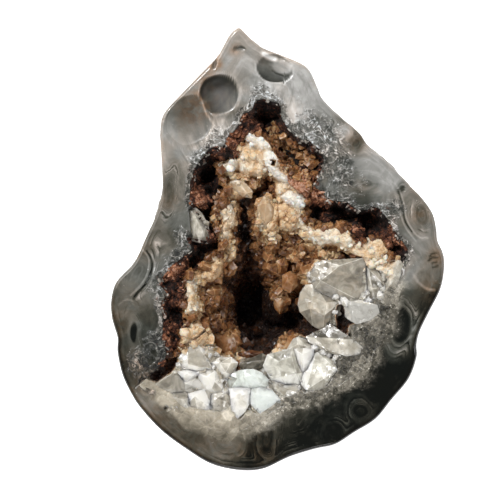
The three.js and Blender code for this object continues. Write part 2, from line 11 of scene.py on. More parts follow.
import bmesh
import bpy
import numpy as np
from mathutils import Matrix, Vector

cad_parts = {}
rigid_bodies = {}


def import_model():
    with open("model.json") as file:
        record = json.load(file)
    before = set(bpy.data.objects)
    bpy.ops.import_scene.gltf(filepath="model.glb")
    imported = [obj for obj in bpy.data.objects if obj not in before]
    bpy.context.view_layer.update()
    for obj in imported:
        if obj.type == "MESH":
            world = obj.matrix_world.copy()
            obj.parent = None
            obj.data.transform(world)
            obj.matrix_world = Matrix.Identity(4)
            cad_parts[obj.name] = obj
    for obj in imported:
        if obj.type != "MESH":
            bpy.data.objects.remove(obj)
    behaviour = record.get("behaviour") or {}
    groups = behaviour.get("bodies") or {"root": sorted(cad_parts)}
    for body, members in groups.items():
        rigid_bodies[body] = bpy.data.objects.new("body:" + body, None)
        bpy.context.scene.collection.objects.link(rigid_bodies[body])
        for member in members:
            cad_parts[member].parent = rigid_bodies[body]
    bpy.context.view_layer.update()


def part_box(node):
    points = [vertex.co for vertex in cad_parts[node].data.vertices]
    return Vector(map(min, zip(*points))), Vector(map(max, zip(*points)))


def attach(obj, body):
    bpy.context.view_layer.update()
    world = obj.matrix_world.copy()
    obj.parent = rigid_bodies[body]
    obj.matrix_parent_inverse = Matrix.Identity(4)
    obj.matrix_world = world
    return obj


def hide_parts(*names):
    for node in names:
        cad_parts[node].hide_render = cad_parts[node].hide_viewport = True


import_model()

MM = 0.001
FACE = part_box("agate_shell")[1][2] / MM  # height of the polished cut
PIXELS_PER_MM = 7.9  # at the cut, in the 500 pixel wide photograph
PHOTO_ZERO = (278.0, 249.5)  # the photograph's pixel on the stone's Z axis
HUB = np.array([-1.6, -4.5])  # middle of the hollow, which sees every outline whole
REST_MIDDLE = np.array([-0.8, -2.6])

# The stone's traced lines

# The saw cut's outline, clockwise from the pointed end.
OUTLINE = [
    (-4.7, 28.0), (-3.5, 26.8), (-2.0, 25.6), (0.5, 24.6), (2.9, 23.6), (4.1, 22.6), (5.1, 20.4),
    (5.8, 18.9), (8.2, 16.6), (10.4, 14.7), (11.5, 13.1), (13.9, 11.1), (16.5, 8.3), (18.2, 6.6),
    (19.6, 4.6), (20.1, 2.7), (20.3, 0.9), (21.0, -0.9), (21.1, -2.6), (20.6, -5.1), (19.2, -7.9),
    (18.0, -10.4), (17.6, -12.1), (17.6, -13.7), (16.6, -16.4), (14.4, -19.1), (12.4, -21.5),
    (9.7, -23.2), (7.3, -24.7), (4.7, -25.3), (1.5, -26.3), (-1.8, -27.8), (-4.8, -28.0),
    (-8.4, -27.2), (-11.6, -25.3), (-14.7, -23.0), (-17.3, -20.2), (-18.6, -18.2), (-19.7, -15.8),
    (-20.3, -13.0), (-20.3, -11.2), (-21.0, -8.7), (-21.1, -6.4), (-20.4, -4.1), (-18.2, -1.7),
    (-16.6, 1.7), (-15.2, 4.9), (-14.6, 7.8), (-14.8, 12.6), (-14.9, 14.9), (-14.4, 17.2),
    (-12.2, 19.7), (-9.5, 22.5), (-7.6, 24.5), (-6.2, 27.0), (-5.3, 27.9),
]

# Where the banded agate ends and the hollow, or the quartz that fills it, begins.
AGATE_EDGE = [
    (-2.7, 19.1), (-0.9, 18.9), (0.4, 18.4), (0.6, 16.6), (2.3, 14.6), (4.3, 13.7), (5.7, 12.3),
    (5.8, 10.6), (4.7, 8.8), (5.3, 7.5), (6.8, 6.4), (8.7, 6.1), (10.1, 5.0), (11.4, 5.1),
    (12.9, 5.3), (14.3, 3.6), (15.4, 1.5), (16.5, -0.1), (15.8, -2.1), (15.1, -4.6), (14.3, -6.9),
    (13.7, -9.2), (13.0, -11.5), (11.6, -14.0), (9.9, -15.8), (7.1, -17.8), (4.1, -18.8),
    (1.0, -19.7), (-1.5, -21.1), (-4.1, -22.8), (-6.7, -23.2), (-9.5, -22.3), (-11.9, -20.8),
    (-14.2, -18.8), (-16.2, -17.7), (-17.1, -16.8), (-15.8, -16.0), (-14.9, -14.7), (-14.3, -13.5),
    (-14.7, -11.5), (-14.4, -9.2), (-14.9, -7.0), (-14.3, -5.6), (-14.9, -3.9), (-13.4, -2.1),
    (-11.1, -0.1), (-11.6, 1.5), (-9.1, 1.1), (-8.7, 2.0), (-10.1, 4.4), (-11.0, 5.8),
    (-11.1, 8.3), (-10.5, 10.4), (-9.5, 11.8), (-8.4, 13.0), (-7.0, 13.2), (-6.4, 14.3), (-5.2, 15.6),
    (-4.4, 17.3), (-3.3, 17.8),
]

# The crystal crust's own edge where a rusty channel parts it from the agate, anticlockwise.
CRUST_EDGE = [
    (15.6, -1.8), (14.4, -0.1), (13.5, 1.5), (11.3, 1.2), (10.0, 1.2), (8.7, 3.0), (6.8, 2.8),
    (4.6, 3.0), (3.4, 5.1), (3.9, 7.1), (1.7, 9.1), (0.0, 11.7), (-1.3, 13.9), (-2.4, 14.7),
    (-3.7, 15.1), (-4.6, 13.7), (-5.9, 12.1), (-7.8, 10.7), (-6.5, 9.1), (-6.1, 7.3), (-7.5, 5.0),
    (-7.8, 2.0), (-7.2, -0.1), (-9.0, -0.8), (-9.7, -2.2), (-11.5, -3.4), (-12.3, -5.4),
    (-12.2, -7.3), (-11.1, -9.2), (-12.5, -10.3), (-12.3, -11.7), (-12.7, -13.7), (-13.4, -15.6),
    (-14.6, -16.4), (-17.0, -17.0),
]

# The shell's hollow in section: share of its radius, and depth below the face.
HOLLOW_PROFILE = [
    (1, 0), (0.965, 2.3), (0.9, 5.6), (0.8, 9.4), (0.66, 13.0), (0.45, 16.2), (0.2, 17.2), (0, 17.2),
]

# The crust's landforms: how stained with iron and how coarse the crystals are, from 0 up, and spots
# that the surface passes through as x, y and depth below the face.
CRUST_LANDFORMS = {
    "crest": (0.14, 0.6, [
        (-3.7, 14.1, 0.6), (-2.0, 13.2, 0.5), (-0.4, 11.3, 0.5), (1.1, 9.1, 0.6), (2.5, 6.8, 0.6),
        (2.2, 4.7, 1.0), (4.3, 2.1, 0.6), (6.6, 1.8, 0.4), (8.7, 1.6, 0.4), (10.5, -0.2, 0.4),
        (12.7, 0.3, 0.4), (14.1, -1.2, 0.3),
    ]),
    "saddle": (0.36, 0.8, [
        (-6.7, 10.9, 1.0), (-5.1, 11.8, 1.1), (-3.4, 10.6, 1.5), (-1.8, 9.8, 2.4), (-5.3, 7.4, 1.3),
        (-3.9, 7.9, 1.9), (1.0, 7.3, 2.0),
    ]),
    "knobs": (0.36, 1.0, [
        (-1.3, 5.3, 1.5), (0.1, 3.6, 1.6), (-1.5, 3.0, 2.2), (1.5, 2.6, 2.6), (-0.9, 1.6, 4.0),
    ]),
    "left rim": (0.24, 0.8, [
        (-6.6, 5.3, 0.6), (-6.7, 3.4, 0.5), (-7.5, 1.3, 0.7), (-8.5, -1.6, 1.0), (-10.5, -3.0, 0.6),
        (-11.4, -4.9, 0.5), (-11.4, -6.9, 0.5), (-11.1, -8.4, 0.9), (-10.5, -10.7, 0.6),
        (-9.4, -11.1, 1.2), (-11.1, -12.5, 0.6),
    ]),
    "left wall": (0.66, 0.95, [
        (-5.7, 4.5, 2.6), (-5.9, 1.1, 3.0), (-6.6, -1.2, 3.6), (-8.7, -3.5, 2.2), (-8.9, -5.4, 3.6),
        (-7.8, -7.4, 5.5), (-6.6, -6.4, 8.5), (-9.1, -8.9, 3.4), (-7.2, -9.9, 6.0),
    ]),
    # The slit's iron, near 1, is partly painted shade in this deep cleft.
    "slit": (0.92, 0.95, [
        (-2.8, 7.3, 4.5), (-1.1, 8.0, 4.8), (-3.0, 4.5, 5.0), (-4.4, 5.9, 8.0), (-4.4, 3.7, 10.0),
        (-4.9, 1.2, 11.0), (-5.4, -1.6, 12.0), (-5.8, -4.4, 13.0),
    ]),
    "far wall": (0.64, 1.0, [
        (-1.0, -0.3, 5.5), (1.1, 0.4, 4.0), (2.9, 0.6, 3.0), (6.6, -0.8, 2.6), (8.7, -0.9, 2.6),
        (-1.8, -2.3, 8.0), (1.0, -2.1, 5.5), (3.5, -1.6, 3.6), (-0.5, -4.6, 9.0), (2.2, -4.4, 6.8),
        (0.6, -7.0, 8.0), (3.0, -5.9, 7.5),
    ]),
    # The pit's iron of 1 is partly painted shade.
    "pit": (1.0, 0.8, [
        (-2.0, -7.9, 15.0), (-3.8, -9.2, 14.5), (-0.1, -9.7, 14.0), (-2.3, -5.6, 14.5),
        (-4.3, -6.8, 14.0), (1.8, -9.7, 11.5), (3.3, -8.9, 9.0), (-2.0, -11.5, 12.0),
    ]),
    "low step": (0.52, 1.05, [
        (-8.1, -11.7, 3.2), (-6.3, -12.7, 3.8), (-4.7, -11.6, 7.0), (-4.7, -13.4, 6.5),
        (-2.5, -13.0, 7.0), (-0.3, -12.7, 7.5), (1.3, -11.7, 7.0),
    ]),
    "big quartz": (0.1, 1.3, [
        (5.3, -3.0, 0.5), (7.3, -2.6, 0.3), (9.4, -4.4, 0.1), (12.4, -3.4, 0.1), (8.1, -5.9, 0.4),
        (3.8, -6.9, 2.6), (5.4, -7.8, 1.6), (4.8, -9.3, 3.5), (6.7, -8.9, 1.0), (8.5, -9.2, 1.6),
        (9.9, -7.7, 0.1),
    ]),
    "low quartz": (0.04, 1.3, [
        (5.3, -10.9, 0.9), (2.8, -12.2, 0.9), (5.1, -12.8, 0.5), (1.0, -14.1, 0.6), (-0.6, -14.4, 1.0),
        (2.8, -15.4, 0.3), (7.8, -13.5, 0.1), (-2.5, -14.1, 3.4), (-4.1, -14.7, 2.8),
        (-3.5, -16.5, 1.2), (-5.4, -15.6, 1.6), (-6.8, -14.7, 0.8), (-9.1, -13.5, 0.7),
        (-10.4, -14.2, 0.4), (-9.7, -16.6, 0.3), (-1.3, -16.8, 0.6), (-5.9, -17.3, 0.9),
        (-12.4, -15.9, 0.3),
    ]),
    "sawn quartz": (0.02, 1.3, [
        (-13.7, -18.0, 0.1), (-9.5, -19.8, 0.1), (-4.8, -20.1, 0.1), (0.9, -18.0, 0.1),
        (5.9, -16.5, 0.1), (11.0, -11.5, 0.1), (13.5, -6.4, 0.1),
    ]),
}

# The rusty lining's landforms: how bright its rust is, lower in the deep voids as painted shade,
# and spots as x, y and depth below the face.
RUST_LANDFORMS = {
    "left void": (0.4, [
        (-9.2, 9.1, 4.6), (-8.0, 10.3, 5.0), (-8.6, 7.5, 3.6), (-8.4, 4.4, 3.8), (-8.2, 0.6, 2.2),
        (-9.2, -1.6, 3.6), (-10.5, -1.6, 3.0),
    ]),
    "left wall": (0.8, [(-10.3, 8.8, 2.0), (-10.0, 7.4, 1.7)]),
    "left ledge": (0.6, [(-9.9, 6.3, 0.9), (-12.4, -1.9, 1.3), (-13.0, -4.5, 0.9), (-12.8, -6.4, 0.7)]),
    "left channel": (0.4, [
        (-12.4, -8.3, 3.0), (-13.4, -10.2, 1.7), (-13.0, -12.1, 2.6), (-14.2, -12.1, 0.8),
        (-14.3, -15.3, 2.4),
    ]),
    "top ledge": (0.5, [(-4.8, 13.9, 1.1), (-6.7, 12.0, 0.7), (-4.8, 16.4, 1.7), (-3.3, 15.5, 0.8)]),
    "top void": (0.32, [(-3.5, 17.3, 2.6), (-1.3, 17.0, 5.2), (-0.4, 15.8, 4.2), (0.6, 15.1, 3.0)]),
    "upper right floor": (0.42, [
        (1.5, 12.6, 3.6), (2.8, 10.7, 3.4), (4.7, 12.0, 3.0), (0.6, 12.6, 4.4), (4.1, 9.2, 1.6),
    ]),
    "ridge": (1.1, [(3.4, 7.8, 0.6), (5.3, 6.8, 0.8)]),
    "right void": (0.42, [
        (5.3, 4.4, 4.0), (8.5, 4.4, 4.6), (11.6, 3.1, 4.6), (13.5, 4.0, 3.0), (7.2, 4.1, 3.4),
        (15.7, -0.9, 2.2),
    ]),
    "right ledge": (0.7, [(14.2, 1.7, 1.0), (10.1, 1.8, 0.8)]),
}
RUST_START = 4  # degrees, where the lining begins, anticlockwise from +X
RUST_END = 221
RUST_FREE_MIDDLE = 293  # middle of the stretch where quartz meets the agate, and half its width
RUST_FREE_HALF = 70

# How pale the polished agate is in its different stretches, from 0, smoky black, to 1, milky.
AGATE_PALENESS = {
    "pointed end": [(-5.1, 24.2, 0.79)],
    "upper right border": [(2.8, 20.2, 0.86), (6.5, 16.0, 0.68)],
    "pale fringe": [(-2.2, 19.7, 0.95), (-7.7, 14.2, 0.95), (1.7, 16.9, 0.95)],
    "between the bubbles": [(-3.5, 21.0, 0.76), (-14.0, 12.6, 0.8), (-12.2, 13.6, 0.7), (-5.2, 17.8, 0.5)],
    "left border": [(-13.4, 7.0, 0.56), (-13.7, 1.8, 0.43), (-17.6, -2.6, 0.43), (-19.6, -10.0, 0.36)],
    "left chips": [(-16.2, -10.8, 0.22), (-17.4, -12.2, 0.08), (-17.4, -14.2, 0.16), (-19.6, -13.0, 0.36),
     (-15.7, -5.4, 0.56), (-15.5, -8.6, 0.24)],
    "lower left": [(-13.0, -21.8, 0.4), (-16.5, -19.5, 0.6), (-6.8, -25.0, 0.4)],
    "bottom": [(-3.0, -25.6, 0.0), (2.2, -21.0, 0.2), (4.0, -23.8, -0.06)],
    "lower right": [(9.5, -19.5, 0.0), (7.8, -21.6, -0.06), (14.2, -14.8, -0.1), (16.8, -13.0, -0.06),
     (14.4, -11.8, -0.12)],
    "right border": [(14.6, -6.8, 0.5), (16.5, -2.5, 0.7), (18.5, -0.8, 0.64), (16.0, 5.0, 0.5)],
    "right rim": [(19.4, -3.8, 0.5), (19.8, -6.2, 0.1), (18.6, -8.4, 0.06)],
    "upper right": [(12.3, 10.6, 0.84), (13.8, 10.2, 0.84), (13.2, 8.6, 0.76), (8.0, 9.4, 0.46),
     (11.4, 6.4, 0.28), (17.2, 7.2, 0.62)],
}

# Eyes in the agate: middle, half sizes, turn from the Y axis in degrees, paleness of the core and of
# the ring round it, how strong the fine lines round it are, and the side, in degrees, that they keep
# to, if any.
AGATE_EYES = {
    "long eye": ((-18.0, -3.4), (1.6, 4.0), -32, 0.48, 0.48, 0.7, -10),
    "dark eye": ((-18.1, -10.6), (0.7, 1.8), 4, 0.02, 0.44, 0.7, 0),
    "striped eye": ((-13.7, 7.3), (0.8, 2.9), -8, 0.38, 0.55, 0.9, None),
    "pale eye": ((8.6, 14.9), (1.35, 1.5), 0, 0.82, 0.56, 0.9, 190),
    "plum spot": ((10.1, 13.4), (0.8, 0.7), 0, 0.3, 0.5, 0.3, None),
    "soft brown cloud": ((11.2, 8.3), (0.9, 0.6), 0, 0.46, 0.62, 0.0, None),
    "slit eye": ((15.8, 7.7), (0.45, 0.8), -20, 0.22, 0.6, 0.8, 160),
    "brown eye": ((18.2, 4.4), (1.1, 1.6), 14, 0.46, 0.6, 1.0, 200),
    "oval eye": ((15.5, -9.7), (1.5, 2.8), -8, 0.03, 0.36, 1.2, None),
    "black eye": ((10.4, -20.3), (1.15, 1.15), 0, -0.05, 0.12, 1.0, 140),
    "round eye": ((7.0, -23.1), (1.7, 1.5), 0, -0.05, 0.04, 0.5, None),
    "wavy bands": ((-1.3, -24.0), (1.2, 2.3), -12, 0.08, 0.2, 0.8, None),
    "beige eye": ((-6.3, -24.4), (1.5, 1.2), 0, 0.5, 0.42, 0.2, None),
}

# Stretches where iron warms the agate, or with a minus sign where it is bluish: middle, reach and
# strength.
BROWN_STAINS = [
    ((10.1, 13.4), 1.6, 0.7), ((19.6, -5.5), 2.2, 0.8), ((-2.5, -25.6), 3.2, 0.8), ((20.2, -1.0), 1.2, 0.8),
    ((-10.7, 17.6), 1.8, 1.6), ((-8.0, 19.8), 1.9, 1.4), ((-7.9, 23.6), 0.8, 2.0), ((-1.8, 23.8), 0.8, 0.6),
    ((-5.4, 25.2), 0.9, 0.8), ((-9.2, 21.9), 0.8, 0.5), ((-16.3, -16.6), 2.0, 0.7),
    ((-17.6, 0.2), 1.6, 0.5), ((-13.7, 6.0), 1.4, 0.4), ((17.9, 4.3), 1.0, 0.7), ((-20.4, -9.5), 1.2, 0.8),
    ((11.2, 8.3), 1.5, 0.5), ((-19.4, -6.4), 1.8, 0.3), ((-18.7, -14.0), 2.4, 0.4),
    ((-9.9, -24.1), 3.5, 0.45), ((-15.0, -21.6), 2.6, 0.5), ((12.3, 10.6), 3.0, -0.8),
    ((5.2, 19.6), 3.5, -0.8), ((-3.4, 23.0), 2.2, -0.8), ((13.4, -5.6), 3.4, -0.8),
]

# Where the agate near the hollow is lacy and chipped: middle and reach.
LACY_PATCHES = [
    ((4.8, 14.8), 3.4), ((8.3, 10.0), 3.2), ((-17.8, -14.2), 1.8), ((12.0, -8.8), 2.6), ((-7.8, 13.9), 1.5),
    ((-2.2, 19.9), 1.3), ((-10.2, 11.2), 1.2), ((14.8, 5.2), 1.4), ((-14.8, -4.6), 1.7), ((-12.9, -1.5), 1.3),
    ((-15.2, -11.5), 1.4), ((-12.0, 1.4), 1.2),
]

# Smooth-walled bubbles in the face: middle, half sizes, depth, turn in degrees, the lean that makes
# the wall on the turned Y side the steep one, and the tones of that side and of the other, which paint
# light and shade across the bowl.
BUBBLES = [
    ((-7.4, 19.7), (2.55, 2.6), 1.1, 50, 0.75, 0.18, 0.28),
    ((-11.3, 16.1), (3.0, 3.6), 0.5, -34, 0.7, 0.42, 0.74),
    ((-0.38, 22.88), (2.4, 1.8), 1.0, -14, 0.1, 0.5, 0.14),
    ((-5.0, 25.4), (0.8, 0.35), 0.3, 0, 0.5, 0.36, 0.6),
    ((-7.9, 23.5), (0.3, 0.75), 0.4, -20, 0.3, 0.4, 0.5),
    ((-14.0, -20.2), (0.36, 0.3), 0.6, 0, 0, 0.0, 0.1),
    ((-13.2, -20.2), (0.26, 0.24), 0.5, 0, 0, 0.0, 0.1),
]

# Thin lines on the polish, in photograph pixels: half width in millimetres, paleness and course.
THIN_LINES = [
    (0.13, 1.0, [(199, 95), (203, 104), (206, 112), (211, 120), (217, 129)]),
    (0.1, 0.95, [(199, 95), (201, 86), (208, 78), (220, 73), (230, 74)]),
    (0.16, 0.9, [(235, 78), (241, 88), (241, 98), (237, 107)]),
    # A painted highlight: the glint on the chip at the third bubble's top.
    (0.3, 1.5, [(264, 54), (269, 57), (275, 59)]),
    (0.16, 0.74, [(414, 275), (420, 283), (428, 289), (435, 290)]),
    (0.1, 0.2, [(430, 257), (433, 254), (437, 253)]),
    (0.13, 0.18, [(429, 261), (433, 258), (438, 258)]),
    (0.1, 0.22, [(432, 264), (437, 262)]),
    (0.12, 0.2, [(433, 268), (438, 266)]),
    (0.12, 0.85, [(396, 184), (401, 193), (404, 204), (406, 216), (411, 228), (419, 237), (428, 238)]),
    (0.1, 0.8, [(390, 180), (397, 197), (400, 212), (406, 228), (416, 241)]),
    (0.1, 0.1, [(399, 190), (403, 205), (405, 220), (412, 232)]),
    (0.1, 0.75, [(152, 255), (155, 264), (153, 277), (146, 290), (136, 300)]),
    (0.12, 0.06, [(147, 251), (152, 261), (151, 274), (144, 287), (135, 297)]),
    (0.1, 0.8, [(143, 250), (149, 259), (148, 272), (142, 284), (131, 296)]),
    (0.1, 0.7, [(119, 305), (127, 300), (136, 301), (146, 293)]),
]
# The bead's paleness rises across it, as painted light and shade on its rounded top.
DOME = ((0.6, 23.1), (1.5, 1.05), 0.75, -14)  # the rounded bead inside the third bubble

# Masses of the crust, traced in photograph pixels: depth of the top below the face, iron, crystal size
# and outline.
MOUNDS = [
    (0.3, 0.02, 0.5, [(245, 133), (250, 130), (258, 132), (265, 138), (270, 143), (271, 148), (267, 151),
     (261, 150), (255, 147), (250, 143), (247, 140)]),
    (0.4, 0.02, 0.5, [(264, 148), (271, 149), (276, 153), (280, 163), (278, 167), (284, 173), (291, 181),
     (283, 182), (275, 177), (269, 170), (265, 160)]),
    (0.7, 0.3, 0.8, [(238, 146), (246, 142), (254, 146), (262, 151), (266, 163), (266, 172), (258, 176),
     (248, 173), (240, 169), (236, 160)]),
    (0.7, 0.16, 0.8, [(229, 153), (238, 150), (240, 160), (238, 168), (230, 169), (224, 166)]),
    (1.0, 0.14, 0.8, [(214, 161), (222, 160), (228, 163), (230, 170), (222, 172), (216, 170)]),
    (1.6, 0.5, 0.9, [(225, 171), (240, 171), (250, 176), (242, 182), (231, 182)]),
    (2.0, 0.58, 0.9, [(246, 173), (254, 175), (263, 180), (260, 186), (251, 186)]),
    (1.5, 0.42, 0.8, [(226, 195), (232, 187), (240, 190), (244, 197), (236, 201), (228, 200)]),
    (0.9, 0.22, 0.7, [(219, 207), (224, 202), (230, 203), (234, 209), (235, 218), (233, 227), (227, 231),
     (222, 229), (221, 216)]),
    (1.3, 0.25, 0.7, [(217, 235), (221, 228), (229, 230), (232, 236), (226, 241), (221, 243)]),
    (2.6, 0.5, 0.8, [(233, 203), (239, 202), (241, 211), (239, 222), (235, 229), (236, 214)]),
    (3.8, 0.72, 1.0, [(249, 203), (256, 201), (259, 215), (258, 229), (252, 226), (248, 213)]),
    (1.2, 0.38, 1.0, [(261, 203), (266, 196), (272, 198), (278, 206), (281, 216), (278, 228), (274, 239),
     (266, 229), (259, 222), (258, 211)]),
    (0.9, 0.4, 0.7, [(278, 206), (286, 203), (296, 209), (303, 217), (300, 227), (290, 230), (281, 226)]),
    (0.5, 0.02, 0.5, [(281, 197), (289, 190), (297, 193), (305, 197), (311, 205), (306, 209), (299, 209),
     (289, 204)]),
    (0.9, 0.3, 0.6, [(276, 183), (286, 181), (293, 187), (289, 193), (280, 197), (275, 191)]),
    (0.8, 0.2, 0.6, [(300, 213), (304, 221), (311, 228), (322, 236), (330, 242), (322, 245), (311, 238),
     (302, 228), (297, 219)]),
    (0.5, 0.19, 0.6, [(313, 229), (326, 228), (340, 225), (350, 228), (356, 235), (358, 243), (349, 250),
     (338, 246), (326, 243), (317, 238)]),
    (0.5, 0.3, 0.6, [(346, 249), (358, 244), (362, 249), (368, 244), (366, 239), (380, 236), (390, 240),
     (394, 252), (391, 261), (386, 258), (381, 265), (375, 260), (370, 264), (363, 259), (356, 256)]),
    (0.5, 0.28, 0.7, [(183, 289), (188, 281), (194, 283), (196, 294), (197, 303), (199, 309), (193, 316),
     (184, 318), (181, 311), (185, 301)]),
    (1.1, 0.4, 0.8, [(187, 279), (196, 272), (206, 268), (212, 262), (222, 255), (222, 266), (219, 277),
     (212, 281), (198, 282)]),
    (2.2, 0.5, 0.9, [(222, 241), (232, 240), (235, 250), (233, 258), (226, 261), (221, 251)]),
    (3.4, 0.72, 0.9, [(220, 262), (229, 262), (231, 270), (225, 275), (220, 272)]),
    (0.9, 0.3, 0.7, [(208, 254), (214, 252), (221, 256), (216, 263), (210, 262)]),
    (0.6, 0.36, 1.0, [(179, 334), (190, 326), (198, 320), (205, 327), (210, 338), (208, 343), (195, 346),
     (183, 346)]),
    (3.6, 0.7, 1.0, [(197, 284), (210, 283), (219, 290), (221, 302), (213, 312), (204, 318), (199, 309)]),
    (5.6, 0.72, 1.0, [(219, 283), (226, 300), (226, 318), (216, 326), (207, 322), (212, 312), (220, 303)]),
    (4.6, 0.62, 1.05, [(210, 331), (224, 333), (234, 340), (236, 349), (232, 358), (218, 356), (209, 345)]),
    (5.4, 0.72, 1.1, [(262, 245), (272, 241), (284, 244), (291, 256), (288, 272), (276, 276), (264, 268)]),
    (3.8, 0.6, 1.1, [(284, 236), (297, 233), (309, 240), (315, 252), (308, 262), (296, 262), (288, 252)]),
    (2.4, 0.5, 0.9, [(318, 246), (332, 249), (345, 254), (340, 260), (326, 261), (318, 256)]),
    (6.4, 0.74, 1.1, [(276, 280), (290, 270), (302, 268), (311, 274), (306, 286), (296, 291), (282, 294)]),
    (5.4, 0.55, 1.0, [(275, 299), (282, 294), (288, 299), (287, 307), (281, 315), (276, 308)]),
]

# Holes between the masses, traced the same way: depth, iron and outline. Their iron, near 1, makes
# them black-brown: partly stain, partly painted shade in the deep holes.
HOLES = [
    (7.4, 1.0, [(278, 300), (281, 317), (289, 309), (296, 300), (302, 296), (301, 309), (310, 320),
     (322, 330), (310, 338), (296, 336), (287, 337), (276, 342), (272, 320)]),
    (10.5, 1.0, [(258, 291), (268, 293), (276, 300), (280, 311), (281, 324), (280, 336), (280, 347),
     (274, 356), (260, 359), (246, 358), (238, 349), (237, 338), (238, 324), (239, 309), (246, 297)]),
    (8.5, 0.9, [(237, 258), (246, 243), (250, 250), (258, 262), (262, 275), (258, 290), (246, 296),
     (238, 302), (230, 299), (225, 287), (226, 277), (232, 268)]),
    (6.5, 1.0, [(240, 200), (249, 199), (249, 213), (252, 228), (247, 243), (237, 241), (235, 230),
     (240, 222), (241, 210)]),
    (3.0, 0.75, [(236, 364), (241, 361), (241, 372), (232, 377)]),
    (2.6, 0.98, [(338, 306), (343, 304), (346, 312), (350, 319), (358, 323), (351, 326), (348, 335),
     (342, 337), (338, 331), (336, 318), (336, 310)]),
    (4.2, 0.88, [(343, 251), (352, 255), (364, 258), (353, 261), (347, 262), (342, 257)]),
    (4.5, 0.88, [(318, 257), (323, 254), (323, 262), (319, 266)]),
    (4.0, 0.82, [(262, 178), (272, 176), (276, 186), (275, 196), (266, 193), (258, 196), (252, 187),
     (261, 186)]),
    (2.4, 0.85, [(271, 160), (277, 160), (275, 166), (271, 165)]),
    (3.4, 0.85, [(200, 321), (205, 328), (211, 339), (222, 332), (212, 326), (205, 322)]),
    (3.0, 0.9, [(219, 217), (223, 216), (222, 224), (219, 224)]),
    (2.6, 0.97, [(395, 245), (401, 247), (408, 250), (409, 258), (406, 265), (402, 263), (398, 256)]),
    (2.1, 0.92, [(144, 381), (149, 368), (156, 352), (166, 349), (179, 353), (177, 366), (171, 373),
     (163, 380), (156, 383)]),
]

# Where crystals stand free; beyond its lower side the saw cut the quartz flat.
STANDING = [
    (150, 381), (160, 392), (170, 405), (182, 408), (194, 407), (204, 409), (212, 411), (222, 410),
    (231, 406), (234, 412), (240, 419), (246, 413), (256, 412), (264, 415), (274, 411), (280, 400),
    (286, 396), (300, 393), (312, 391), (324, 390), (331, 380), (337, 370), (345, 357), (360, 352),
    (362, 346), (352, 339), (350, 334), (354, 326), (362, 322), (370, 321), (379, 313), (378, 305),
    (383, 300), (389, 290), (392, 280), (395, 271), (392, 266), (400, 268), (408, 267), (412, 256),
    (412, 240), (380, 190), (330, 140), (280, 90), (170, 120), (140, 250), (130, 340),
]

# The outline of a glassy crystal that stands in the agate's left edge, in photograph pixels.
GLASSY = [
    (190, 211), (195, 209), (202, 215), (207, 224), (209, 235), (207, 242), (200, 241), (193, 239),
    (191, 226),
]
